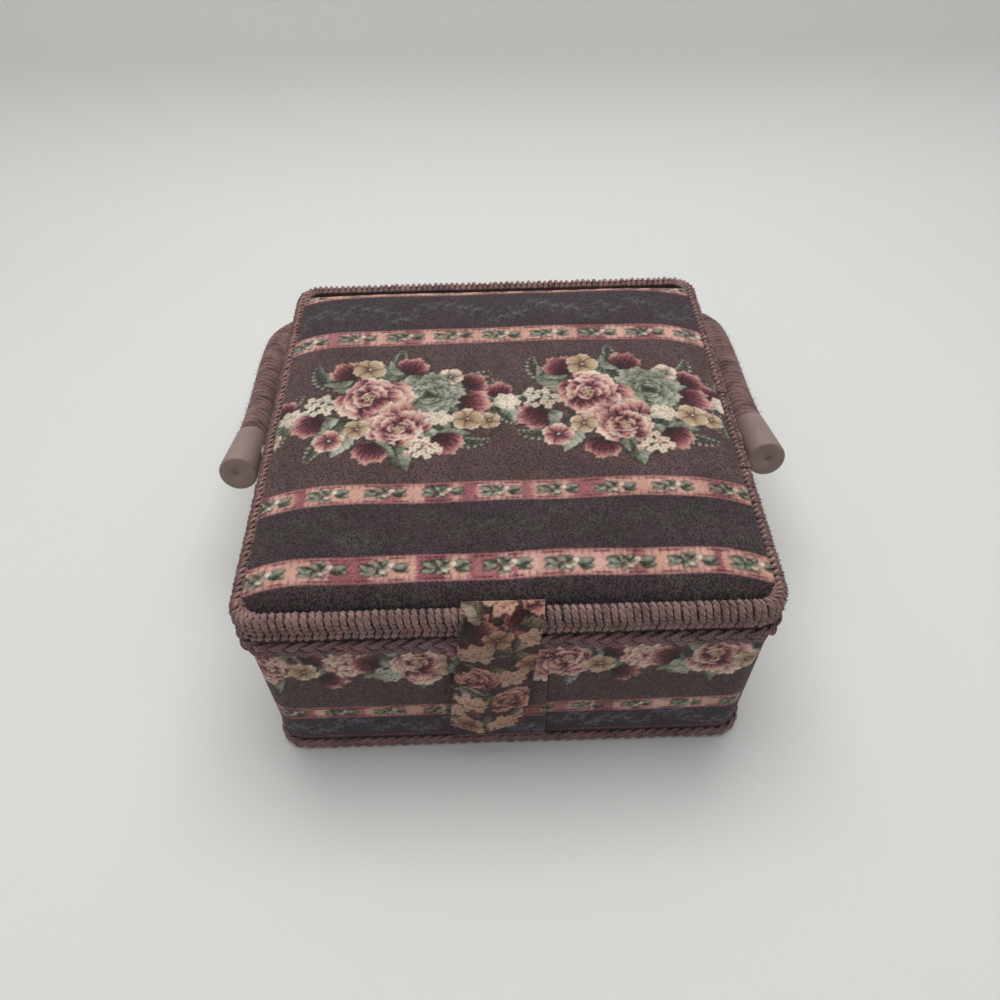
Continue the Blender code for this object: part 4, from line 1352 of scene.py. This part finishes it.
@dataclass
class BasketBody:
    """The walls' printed cloth, the strip down the front, the linings and the two plaits."""

    half_x: float = 0.125
    half_y: float = 0.133
    height: float = 0.1017
    draw_in: float = 0.0035
    corner: float = 0.013
    cloth_low: float = 0.0013
    cloth_thickness: float = 0.001
    lining_inset: float = 0.0041
    lining_low: float = 0.0056
    floor_low: float = 0.0046
    strip_offset: float = -0.006
    strip_width: float = 0.0475
    strip_low: float = 0.0088
    strip_high: float = 0.0909
    rim_overhang: float = 0.002
    rim_plait_middle: float = 0.0964
    foot_plait_middle: float = 0.0045
    seam_allowance: float = 12.0
    spray_step: float = 71.0

    def half(self, z: float) -> tuple[float, float]:
        """Half the body's width and depth over its cloth at a height."""
        draw = self.draw_in * (1 - z / self.height)
        return self.half_x - draw, self.half_y - draw

    def ring(self, z: float, outset: float) -> RoundedLoop:
        """The loop round the body at a height, this far outside its cloth."""
        half_x, half_y = self.half(z)
        return RoundedLoop(half_x + outset, half_y + outset, self.corner + outset)

    def hoop(self, name: str, levels: Sequence[tuple[float, float]], columns: int) -> bpy.types.Mesh:
        """A closed hoop of cloth round the body, whose map reads its true height.

        Args:
            name: The mesh's name.
            levels: The height and outset of each row.
            columns: How many faces go round.

        Returns:
            The mesh.
        """
        rings = [(self.ring(z, outset), 0.0, z) for z, outset in levels]
        return hoop_mesh(name, rings, [z for z, _ in (*levels, levels[0])], columns)

    def build_cover(self) -> None:
        """The printed cloth round the walls, with its seam at the back."""
        behind = -self.cloth_thickness
        levels = [(self.height, behind), (self.cloth_low, behind), (self.cloth_low, 0.0)]
        levels += [(float(z), 0.02 * MM * math.sin(z * 900)) for z in np.linspace(0.0075, 0.0935, 90)]
        mesh = self.hoop("body_print_cloth", [*levels, (self.height, 0.0)], 1010)
        length = self.ring(0.05, 0).length / MM
        self.paint(length).print_on(mesh, lambda flat: flat / MM)
        cover = piece("body_print_cloth", mesh, SHOP.print_cotton, Body.BASKET, ["body_cover"])

    def paint(self, length: float) -> PrintedLength:
        """Paints the walls' length of the print.

        Args:
            length: The way round the walls in millimetres.

        Returns:
            The painted length.
        """
        cloth = PrintedLength(0, 0, length + self.seam_allowance, 106, 0.33, 11)
        cloth.band(0, 30, 0.6, Yarn.PLUM)
        cloth.scroll(20.5, 16, 0, length, Yarn.SLATE, 0.5)
        cloth.stripe(34.5, 10.5, 25.5, 6, length)
        x = 8.0
        side = 1
        while x < length - 20:
            tones = SAGE_TONES if side > 0 else BLUSH_TONES
            for step, angle in enumerate((0.5, 2.4, 3.6, 5.9, 1.3, 4.6, 0.1, 3.0)):
                cloth.leaf(x + 27 + 12 * math.cos(angle), 77 + 6 * math.sin(angle), 16, angle, step % 2 == 0)
            cloth.fern(x + 44, 78, 18, 0.3 * side)
            for dx, y, reach, angle in ((5, 78, 15, 2.9), (46, 69, 14, -0.4), (41, 82, 13, 0.7)):
                cloth.tulip(x + dx, y, reach, angle)
            cloth.florets(x + 8, 69, 6, tones)
            cloth.camellia(x + 23, 79, 15, ROSE_TONES, 1.2 + side)
            cloth.dahlia(x + 60, 80, 11.5, tones)
            cloth.primrose(x + 39, 74, 7.5, GOLD_TONES)
            x += length / max(round(length / self.spray_step), 1)
            side = -side
        cloth.band(10, 0.8, 0.8, Yarn.DUSTY)
        return cloth

    def build_strip(self) -> None:
        """The printed strip down the front, behind the flap."""
        low = self.strip_low
        high = self.strip_high
        width = self.strip_width

        def place(u: np.ndarray, v: np.ndarray) -> np.ndarray:
            z = low + (high - low) * v
            y = -(self.half(z)[1] + 1.0 * MM)
            edge = np.clip((0.5 - np.abs(u - 0.5)) * width / (1.2 * MM), 0, 1)
            bulge = 0.25 * MM * np.sin(v * 7) * np.sin(u * math.pi) + 0.3 * MM * np.sqrt(edge)
            return np.column_stack([self.strip_offset + (u - 0.5) * width, y - bulge, z])

        mesh = cloth_mesh("front_strip_cloth", 70, 120, place, (width, high - low), thickness=0.6 * MM)
        self.paint(160).print_on(mesh, lambda flat: flat / MM + np.array((56.0, low / MM)))
        strip = piece("front_strip_cloth", mesh, SHOP.print_cotton, Body.BASKET, ["front_strip"])

    def build_linings(self) -> None:
        """The lining up the walls, the one on the floor, and the plain cloth underneath."""
        inner = -self.lining_inset
        low = self.lining_low
        levels = [(self.height, inner), (low, inner), (low, inner - 0.9 * MM)]
        rows = np.linspace(low + 1.0 * MM, self.height - 1.0 * MM, 24)
        levels += [(float(z), inner - 1.0 * MM - 0.3 * MM * math.sin(z * 160)) for z in rows]
        mesh = self.hoop("wall_lining_cloth", levels, 300)
        wall = piece("wall_lining_cloth", mesh, SHOP.lining, Body.BASKET, ["body_lining"])
        length = self.ring(0.05, inner).length
        for name, node, low, outset, finish, rests in (
            ("floor_lining_cloth", "floor_lining", self.floor_low, inner, SHOP.lining, "base_board"),
            ("under_cloth", "base_cloth", 0.0, -0.2 * MM, SHOP.plain_cotton, "base_board"),
        ):
            floor = piece(name, self.plate(name, low, outset), finish, Body.BASKET, [node])

    def plate(self, name: str, low: float, outset: float) -> bpy.types.Mesh:
        """A flat cloth with round corners, 0.8 mm thick.

        Args:
            name: The mesh's name.
            low: The height of its underside.
            outset: How far outside the wall cloth it ends.

        Returns:
            The mesh.
        """
        half_x, half_y = self.half(low)

        def place(u: np.ndarray, v: np.ndarray) -> np.ndarray:
            spot = rounded_square(u, v, half_x + outset, half_y + outset, self.corner + outset)
            lift = 0.06 * MM * np.sin(spot[:, 0] * 310) * np.sin(spot[:, 1] * 270)
            return np.column_stack([spot, low + 0.9 * MM + lift])

        return cloth_mesh(name, 60, 60, place, (2 * half_x, 2 * half_y), thickness=0.8 * MM)

    def build(self) -> None:
        """Builds and dresses all of the body, with the flat plaits under the lid and round the foot."""
        self.build_cover()
        self.build_strip()
        self.build_linings()
        out = self.rim_overhang
        rim = RoundedLoop(self.half_x + out, self.half_y + out, self.corner + out)
        Plait(
            rim, self.rim_plait_middle, swing=3.2 * MM, cord_step=1.13 * MM, period=22.5 * MM,
            weave=1.1 * MM, radius=0.64 * MM, outset=-0.6 * MM,
        ).build("rim_plait", "rim_braid")
        foot = self.ring(self.foot_plait_middle, 0)
        Plait(
            foot, self.foot_plait_middle, swing=2.1 * MM, cord_step=1.0 * MM, period=19.0 * MM,
            weave=0.7 * MM, radius=0.6 * MM, outset=1.2 * MM,
        ).build("foot_plait", "base_braid")
        dress_nodes(["wall_board", "base_board", "tray_ledge_left", "tray_ledge_right"], SHOP.board)
        dress_nodes(["snap_socket", "snap_stud"], SHOP.steel)


@dataclass
class Lid:
    """The padded printed top, the stitched rim round it and what is under it."""

    half_x: float = 0.127
    half_y: float = 0.135
    corner: float = 0.015
    low: float = 0.1020
    top: float = 0.1175
    rim_width: float = 0.007
    side_inset: float = 0.0056
    front_inset: float = 0.0068
    tuck_inset: float = 0.0073
    tuck_share: float = 0.012
    pad_bottom: float = 0.1061
    pad_edge: float = 0.1179
    crown: float = 0.0045
    roundness: float = 7.0
    roll_start: float = 0.0022
    roll_width: float = 0.0115
    roll_depth: float = 0.0076
    stitch_step: float = 0.00355
    stitch_radius: float = 0.00107
    stitch_over: tuple[Spot, ...] = (
        (-6.4, -2.2, -0.3), (-5.4, -1.2, -0.2), (-4.0, -0.9, 0.0), (-2.4, -1.1, 0.2), (-1.2, -2.1, 0.4),
        (-0.8, -4.2, 0.7), (-0.85, -6.6, 1.1), (-1.3, -8.5, 1.5), (-2.7, -9.2, 1.7),
    )
    stitch_under: tuple[Spot, ...] = (
        (-2.6, -7.2, 2.4), (-1.1, -8.2, 2.0), (-0.9, -10.0, 1.4), (-0.9, -11.9, 0.8), (-1.4, -13.3, 0.3),
        (-2.9, -13.7, 0.0),
    )
    sleeve: tuple[tuple[float, float], ...] = ((-7.05, -15.0), (-7.05, -1.75), (-1.75, -1.75), (-1.75, -15.0))
    pocket_low: float = 0.022
    pocket_width: float = 0.170
    pocket_depth: float = 0.078
    pocket_gather: float = 1.3
    pincushion_radius: float = 0.023
    pincushion_height: float = 0.009
    pincushion_forward: float = 0.062

    def pad_height(self, x: np.ndarray, y: np.ndarray) -> np.ndarray:
        """How high the pad's cloth stands: crowned, and rolled down at front and back.

        Args:
            x: How far each place lies to the right of the middle.
            y: How far it lies behind the middle.

        Returns:
            The height at each place.
        """
        inner_x = self.half_x - self.side_inset
        inner_y = self.half_y - self.front_inset
        near_x = np.clip(1 - np.abs(x) / inner_x, 0, 1)
        near_y = np.clip(1 - np.abs(y) / inner_y, 0, 1)
        rise = (1 - (1 - near_x) ** self.roundness) * (1 - (1 - near_y) ** self.roundness)
        turn = np.clip(1 - (inner_y - np.abs(y) - self.roll_start) / self.roll_width, 0, 1)
        roll = self.roll_depth * (1 - np.sqrt(1 - 0.985 * turn**2))
        soft = 0.35 * MM * np.sin(x * 47 + 1) * np.sin(y * 39) + 0.2 * MM * np.sin(x * 90 + y * 60)
        return self.pad_edge + self.crown * rise + soft * rise - roll

    def build_top(self) -> None:
        """The crowned pad under its printed cloth, in one closed form."""
        half = np.array([self.half_x - self.side_inset, self.half_y - self.front_inset])
        tuck = (self.tuck_inset - np.array([self.side_inset, self.front_inset])) / half
        wide = 1 + self.tuck_share

        def place(u: np.ndarray, v: np.ndarray) -> np.ndarray:
            wide_u = (u - 0.5) * wide + 0.5
            wide_v = (v - 0.5) * wide + 0.5
            spot = rounded_square(np.clip(wide_u, 0, 1), np.clip(wide_v, 0, 1), *half, self.corner - 6.0 * MM)
            over = np.maximum(np.abs(wide_u - 0.5), np.abs(wide_v - 0.5)) - 0.5
            tucked = np.clip(over / (self.tuck_share / 2), 0, 1)
            edge = self.pad_height(spot[:, 0], spot[:, 1])
            under = np.clip(2.4 * tucked, 0, 1)[:, None]
            return np.column_stack([spot * (1 - under * tuck), edge - tucked**2 * (edge - self.pad_bottom)])

        def close(form: bmesh.types.BMesh) -> None:
            bmesh.ops.edgeloop_fill(form, edges=[edge for edge in form.edges if edge.is_boundary])

        size = 2 * half * wide
        mesh = cloth_mesh("lid_print_cloth", 420, 448, place, tuple(size), merge=True, finishing=close)

        def to_design(flat: np.ndarray) -> np.ndarray:
            spot = flat / MM - size / 2 / MM
            pull = np.clip(np.abs(spot[:, 0]) - 88, 0, None) / 33
            return np.column_stack([spot[:, 0], spot[:, 1] + 4.5 * pull**2])

        self.paint().print_on(mesh, to_design)
        top = piece("lid_print_cloth", mesh, SHOP.print_cotton, Body.LID, ["lid_cover", "lid_pad"])

    def paint(self) -> PrintedLength:
        """Paints the lid's piece of the print.

        Returns:
            The painted piece, its middle at the lid's middle.
        """
        cloth = PrintedLength(-130, -137, 260, 274, 0.3, 5)
        # Darker bands of the print; the one at the front edge, at -125, is also painted shade where the pad
        # rolls down to the rim
        for y, half in ((-125, 13), (-84.5, 20), (95, 24)):
            cloth.band(y, half, 1, Yarn.DUSK_AND_FRONT_SHADE)
            cloth.scroll(y, 24, -128, 128, Yarn.SCROLL if y > 0 else Yarn.LEAF, 0.22)
        for y, height in ((-108, 15), (-61, 13.5), (69, 15), (121, 12)):
            cloth.stripe(y, height, 28.5, -118 + (y % 7), 128)
        cloth.vine(-124, 124, 5, 8)
        for x, y, angle in ((-2, 6, 1.1), (-119, 2, 1.4), (117, 6, 1.9)):
            cloth.fern(x, y, 22, angle)
            cloth.fern(x, y - 6, 20, -angle)
            cloth.leaf(x + 2, y - 3, 15, angle - 2.2, pale=True)
            cloth.tulip(x, y + 4, 14, angle + 0.4)
            cloth.primrose(x - 5, y - 14, 6.5, GOLD_TONES)
            cloth.florets(x + 5, y + 1, 6, MIST_TONES)
        for x in (-60, 61):
            cloth.bouquet(x, 4, 1.18)
        return cloth

    def build_rim(self) -> None:
        """The stitched rim: cord wrapped over the edge, a row of loops below it and a sleeve of cord.

        The sleeve under the stitches hides the frame between them; its darker cord is painted shade in the
        gaps.
        """
        loop = RoundedLoop(self.half_x, self.half_y, self.corner)
        count = round(loop.length / self.stitch_step)
        chance = np.random.default_rng(7)
        forms = (smooth_path(self.stitch_over, 15), smooth_path(self.stitch_under, 10))
        strands: list[list[np.ndarray]] = [[], []]
        shares: list[list[np.ndarray]] = [[], []]
        fibres = []
        facing = []
        for at in np.arange(count) * loop.length / count:
            tangent = loop.at(np.array([at + 0.5 * MM])) - loop.at(np.array([at - 0.5 * MM]))
            sideways = np.array([*(tangent[0] / np.linalg.norm(tangent[0])), 0.0])
            out = np.cross(sideways, (0.0, 0.0, 1.0))
            for row, form in enumerate(forms):
                shift = chance.uniform(-0.35, 0.35, 3)
                local = (form + shift * (0.4, 1, 1)) * MM
                flat = loop.at(at + local[:, 2], local[:, 0])
                path = np.column_stack([flat, self.top + local[:, 1]])
                start = 1.2 * row + chance.uniform(-0.5, 0.5)
                strands[row] += plies(path, sideways, 0.58 * MM, 5.8 * MM, start)
                swell = 0.78 + 0.26 * np.sin(math.pi * np.linspace(0, 1, len(form)))
                shares[row] += [swell * chance.uniform(0.93, 1.1)] * 2
                fibres += [spot + out * 1.5 * MM for spot in path[2:-2:3]]
                facing += [out + np.array([0.0, 0.0, 0.6])] * len(path[2:-2:3])
        for row, name in enumerate(("rim_stitches_over", "rim_stitches_under")):
            mesh = cord_mesh(name, strands[row], self.stitch_radius, resolution=0, shares=shares[row])
            piece(name, mesh, SHOP.cord, Body.LID, [] if row else ["lid_rim_cord"])
        loose_fibres("rim_loose_fibres", np.array(fibres), np.array(facing), 1.9 * MM, 17, Body.LID)
        rings = [(loop, outset * MM, self.top + drop * MM) for outset, drop in self.sleeve]
        mesh = hoop_mesh("rim_sleeve", rings, np.linspace(0, 0.03, len(rings) + 1), 240, face_out)
        # The sleeve's darker cord paints the shade that falls in the gaps between the stitches
        piece("rim_sleeve", mesh, SHOP.gap_shade_cord, Body.LID)
        dress_nodes(["lid_frame", "lid_board"], SHOP.board)

    def build_inside(self) -> None:
        """The lid's lining with its gathered pocket and the small pincushion."""
        half_x = self.half_x - self.rim_width - 0.3 * MM
        half_y = self.half_y - self.rim_width - 0.3 * MM
        hung = self.low - 0.3 * MM

        def place_lining(u: np.ndarray, v: np.ndarray) -> np.ndarray:
            spot = rounded_square(u, v, half_x, half_y, self.corner - self.rim_width)
            pucker = 0.12 * MM * np.sin(spot[:, 0] * 260) * np.sin(spot[:, 1] * 230)
            return np.column_stack([spot[:, 0], -spot[:, 1], self.low + 1.0 * MM + pucker])

        size = (2 * half_x, 2 * half_y)
        mesh = cloth_mesh("lid_lining_cloth", 80, 84, place_lining, size, thickness=0.7 * MM)
        lining = piece("lid_lining_cloth", mesh, SHOP.lining, Body.LID, ["lid_lining"])

        def place_pocket(u: np.ndarray, v: np.ndarray) -> np.ndarray:
            open_edge = 1 - v
            wave = 0.5 + 0.5 * np.sin(u * 130 + 2 * np.sin(u * 17))
            fold = 1.1 * MM * wave * (0.25 + 0.75 * open_edge**2)
            sag = 1.6 * MM * np.sin(math.pi * u) * np.sin(math.pi * np.clip(open_edge + 0.1, 0, 1))
            x = (u - 0.5) * self.pocket_width * (1 - 0.012 * open_edge)
            y = self.pocket_low + v * self.pocket_depth
            edge = np.clip(np.minimum(u, 1 - u) * 40, 0, 1)
            return np.column_stack([x, y, hung - 0.9 * MM - (fold + sag) * edge])

        def turned_out(form: bmesh.types.BMesh) -> None:
            bmesh.ops.reverse_faces(form, faces=form.faces)

        size = (self.pocket_width * self.pocket_gather, self.pocket_depth)
        mesh = cloth_mesh(
            "lid_pocket_cloth", 240, 44, place_pocket, size, thickness=0.5 * MM, finishing=turned_out
        )
        pocket = piece("lid_pocket_cloth", mesh, SHOP.lining, Body.LID, ["lid_pocket"])
        profile = (
            (0.0, 0.0), (0.82, 0.0), (0.94, 0.12), (1.0, 0.34), (0.98, 0.58), (0.86, 0.8), (0.6, 0.95),
            (0.3, 1.0), (0.06, 0.93), (0.0, 0.9),
        )
        y = -self.pincushion_forward
        line = [(r * self.pincushion_radius, y, hung - h * self.pincushion_height) for r, h in profile]
        form = spun(line, (0, y, 0), (0, 0, 1), 64)
        layer = form.loops.layers.uv.new("UVMap")
        for face in form.faces:
            for corner in face.loops:
                corner[layer].uv = corner.vert.co.xy
        mesh = mesh_of("pincushion_pad", form)
        cushion = piece("pincushion_pad", mesh, SHOP.plain_cotton, Body.LID, ["pincushion"])

    def build(self) -> None:
        """Builds and dresses all of the lid."""
        self.build_top()
        self.build_rim()
        self.build_inside()


@dataclass
class Flap:
    """The printed closing flap: tucked in behind the rim, bent over it and hung down to a point."""

    offset: float = -0.006
    width: float = 0.0375
    point_drop: float = 0.0105
    point_share: float = 0.6
    askew: float = 0.0098
    thickness: float = 0.0013
    cut: tuple[float, float] = (42, 130)
    side_line: tuple[tuple[float, float], ...] = (
        (-0.1268, 0.1152), (-0.1281, 0.1183), (-0.1305, 0.1196), (-0.1335, 0.1195), (-0.1360, 0.1183),
        (-0.1372, 0.1158), (-0.1375, 0.1110), (-0.1375, 0.1040), (-0.1377, 0.0960), (-0.1375, 0.0800),
        (-0.1371, 0.0500), (-0.1366, 0.0340), (-0.1364, 0.0215),
    )

    def paint(self) -> PrintedLength:
        """Paints the flap's piece of the print, crowded with leaves and flowers.

        Returns:
            The painted piece.
        """
        width, height = self.cut
        cloth = PrintedLength(0, 0, width, height, 0.22, 31)
        for k in range(10):
            cloth.tulip(width * (0.15 + 0.7 * (k % 2)), 8 + k * height / 10, 16, 1.2 + 2.2 * k)
        for row, y in enumerate(np.arange(4, height + 8, 11.0)):
            for column in range(3):
                x = 2 + width * (column + 0.5 * (row % 2)) / 2.4
                cloth.leaf(x, y, 15, cloth.chance.uniform(0, math.tau), (row + column) % 2 == 0)
                kind = (row + 2 * column) % 7
                if kind == 0:
                    cloth.camellia(x, y, 11, ROSE_TONES, cloth.chance.uniform(0, math.tau))
                elif kind in (2, 5):
                    cloth.florets(x, y, 7.5, GOLD_TONES if kind == 2 else MIST_TONES)
                elif kind == 4:
                    cloth.primrose(x, y, 7.5, GOLD_TONES)
        # The whole flap's print is made darker and browner
        cloth.colour *= np.array((0.70, 0.51, 0.48))
        return cloth

    def build(self) -> None:
        """Builds the flap in one cloth from the lid to the latch."""
        line = smooth_path(self.side_line, 400)
        steps = np.arange(len(line))
        length = float(run_along(line)[-1])

        def place(u: np.ndarray, v: np.ndarray) -> np.ndarray:
            left = self.point_share
            side = np.where(u < left, (left - u) / left, (u - left) / (1 - left))
            reach = v * (length - self.point_drop * side) / length * steps[-1]
            y, z = (np.interp(reach, steps, line[:, k]) for k in (0, 1))
            curl = 0.9 * MM * side**2 * v**2 - 0.4 * MM * np.sin(v * 9) * side
            lean = self.askew * (v - 0.35)
            return np.column_stack([self.offset - lean - (u - 0.5) * self.width, y - curl * 0.5, z])

        mesh = cloth_mesh("flap_cloth", 74, 190, place, (self.width, length), thickness=self.thickness)
        self.paint().print_on(mesh, lambda flat: flat / MM)
        flap = piece("flap_cloth", mesh, SHOP.print_cotton, None, ["latch_flap", "latch_anchor"])
        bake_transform(flap)


@dataclass
class HingeStraps:
    """Two short cloth straps at the back, from the body's plait to the lid's rim."""

    spacing: float = 0.124
    width: float = 0.032
    low: float = 0.0898
    high: float = 0.1125
    face: float = 0.1362

    def build(self) -> None:
        """Builds both straps."""
        size = (self.width, self.high - self.low)
        for side, sign in (("left", -1), ("right", 1)):
            middle = sign * self.spacing / 2

            def place(u: np.ndarray, v: np.ndarray, middle: float = middle) -> np.ndarray:
                z = self.low + size[1] * v
                edge = np.minimum(np.minimum(u, 1 - u) * 16, np.minimum(v, 1 - v) * 12)
                puff = 0.5 * MM * np.sqrt(np.clip(edge, 0, 1))
                return np.column_stack([middle - (u - 0.5) * self.width, self.face + puff, z])

            name = f"hinge_strap_{side}"
            mesh = cloth_mesh(name, 40, 30, place, size, thickness=0.7 * MM)
            strap = piece(name, mesh, SHOP.plain_cotton, None, [f"{name}_body", f"{name}_lid"])
            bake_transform(strap)


@dataclass
class Handle:
    """The bent rod wound with fine cord, and its two flared end caps."""

    half_width: float = 0.155
    bulge: float = 0.007
    reach: float = 0.190
    bend: float = 0.043
    pivot: tuple[float, float] = (0.010, 0.0856)
    droop: float = math.radians(12)
    wound_radius: float = 0.0085
    cord_radius: float = 0.00084
    cord_step: float = 0.00162
    cap_length: float = 0.039
    cap_small: float = 0.009
    cap_large: float = 0.0106
    cap_depth: float = 0.018
    face_rounding: float = 0.0014
    dimple: float = 0.0017

    def drooped(self, x: np.ndarray | float, along: np.ndarray | float) -> np.ndarray:
        """Points of the handle as it hangs back behind the basket.

        Args:
            x: How far each point lies to the right.
            along: How far it lies from the pivots.

        Returns:
            The points.
        """
        y = self.pivot[0] + along * math.cos(self.droop)
        z = self.pivot[1] - along * math.sin(self.droop)
        return np.stack(np.broadcast_arrays(x, y, z), axis=-1)

    @property
    def leg(self) -> float:
        """The length of the rod's straight side."""
        return self.reach - self.bend

    @property
    def whole(self) -> float:
        """The length of the rod from pivot to pivot."""
        return 2 * (self.leg + self.bend * math.pi / 2) + 2 * (self.half_width - self.bend)

    def line(self, distance: np.ndarray) -> tuple[np.ndarray, np.ndarray]:
        """Points and headings along the rod.

        Args:
            distance: How far each point lies from the left pivot.

        Returns:
            The points, and the way that the rod runs at each.
        """
        leg = self.leg
        right = distance > self.whole / 2
        along = np.where(right, self.whole - distance, distance)
        angle = np.clip((along - leg) / self.bend, 0, math.pi / 2)
        share = np.clip((np.minimum(along, leg) - self.cap_depth) / (leg - self.cap_depth), 0, 1)
        bow = self.bulge * (1 - share * share * (3 - 2 * share))
        past = np.maximum(along - leg - self.bend * math.pi / 2, 0)
        x = self.half_width - bow - self.bend * (1 - np.cos(angle)) - past
        points = self.drooped(np.where(right, x, -x), np.minimum(along, leg) + self.bend * np.sin(angle))
        heading = np.gradient(points, axis=0)
        return points, heading / np.linalg.norm(heading, axis=1, keepdims=True)

    def build_winding(self) -> None:
        """The cord wound round the rod from cap to cap."""
        start = self.cap_depth + 0.6 * MM
        wound = self.whole - 2 * start
        turns = int(wound / self.cord_step)
        t = np.linspace(0, 1, turns * 20)
        wobble = 0.5 * MM * np.sin(t * 97) + 0.3 * MM * np.sin(t * 251)
        points, heading = self.line(start + t * wound + wobble * np.sin(math.pi * t))
        up = np.array([0.0, math.sin(self.droop), math.cos(self.droop)])
        across = np.cross(heading, up)
        phase = (math.tau * turns * t)[:, None]
        around = self.wound_radius - self.cord_radius + 0.12 * MM * np.sin(t * 700)
        path = points + around[:, None] * (np.cos(phase) * up + np.sin(phase) * across)
        mesh = cord_mesh("handle_winding", [path], self.cord_radius)
        piece("handle_winding", mesh, SHOP.wound_cord, Body.HANDLE, ["handle_wrap"])
        outward = (path - points) / np.linalg.norm(path - points, axis=1, keepdims=True)
        face = path + outward * self.cord_radius
        loose_fibres("handle_loose_fibres", face[::4], outward[::4], 3.2 * MM, 19, Body.HANDLE)
        dress_nodes(["handle_core"], SHOP.cane)

    def cap_profile(self) -> list[tuple[float, float]]:
        """The radius and depth of each point from the cap's inner end to the middle of its face.

        Returns:
            The points: a flared side, a round edge and a small dimple in the face.
        """
        small = self.cap_small
        end = self.cap_length
        profile = [(0.0, 0.0), (small - 0.8 * MM, 0.0), (small - 0.2 * MM, 0.2 * MM), (small, 0.8 * MM)]
        for step in range(7):
            angle = math.pi / 2 * step / 6
            radius = self.cap_large - self.face_rounding * (1 - math.cos(angle))
            profile.append((radius, end - self.face_rounding * (1 - math.sin(angle))))
        profile += [(self.dimple + 0.3 * MM, end), (self.dimple, end - 0.3 * MM)]
        return profile + [(self.dimple * 0.6, end - 0.8 * MM), (0.0, end - 0.9 * MM)]

    def build(self) -> None:
        """Builds and dresses all of the handle, its flared caps and its pivots."""
        self.build_winding()
        axis = self.drooped(0.0, 1.0) - self.drooped(0.0, 0.0)
        for side, sign in (("left", -1), ("right", 1)):
            x = sign * (self.half_width - self.bulge)
            line = [self.drooped(x + radius, self.cap_depth - depth) for radius, depth in self.cap_profile()]
            name = f"moulded_cap_{side}"
            mesh = mesh_of(name, spun(line, self.drooped(x, 0.0), axis, 72))
            piece(name, mesh, SHOP.cap, Body.HANDLE, [f"end_cap_{side}"])
            dress_nodes([f"pivot_spacer_{side}"], SHOP.collar)
            dress_nodes([f"pivot_screw_{side}", f"pivot_washer_{side}"], SHOP.steel)


@dataclass
class Tray:
    """The loose moulded tray inside."""

    node: str = "tray"

    def build(self) -> None:
        """Dresses the tray."""
        dress_nodes([self.node], SHOP.tray)


def main() -> None:
    """Builds the studio and the basket's sub-assemblies in order."""
    logging.basicConfig(level=logging.INFO, format="%(name)s: %(message)s")
    for part in (Studio(), BasketBody(), Lid(), Flap(), HingeStraps(), Handle(), Tray()):
        part.build()
        LOG.info("%s is done", type(part).__name__)


if __name__ == "__main__":
    main()
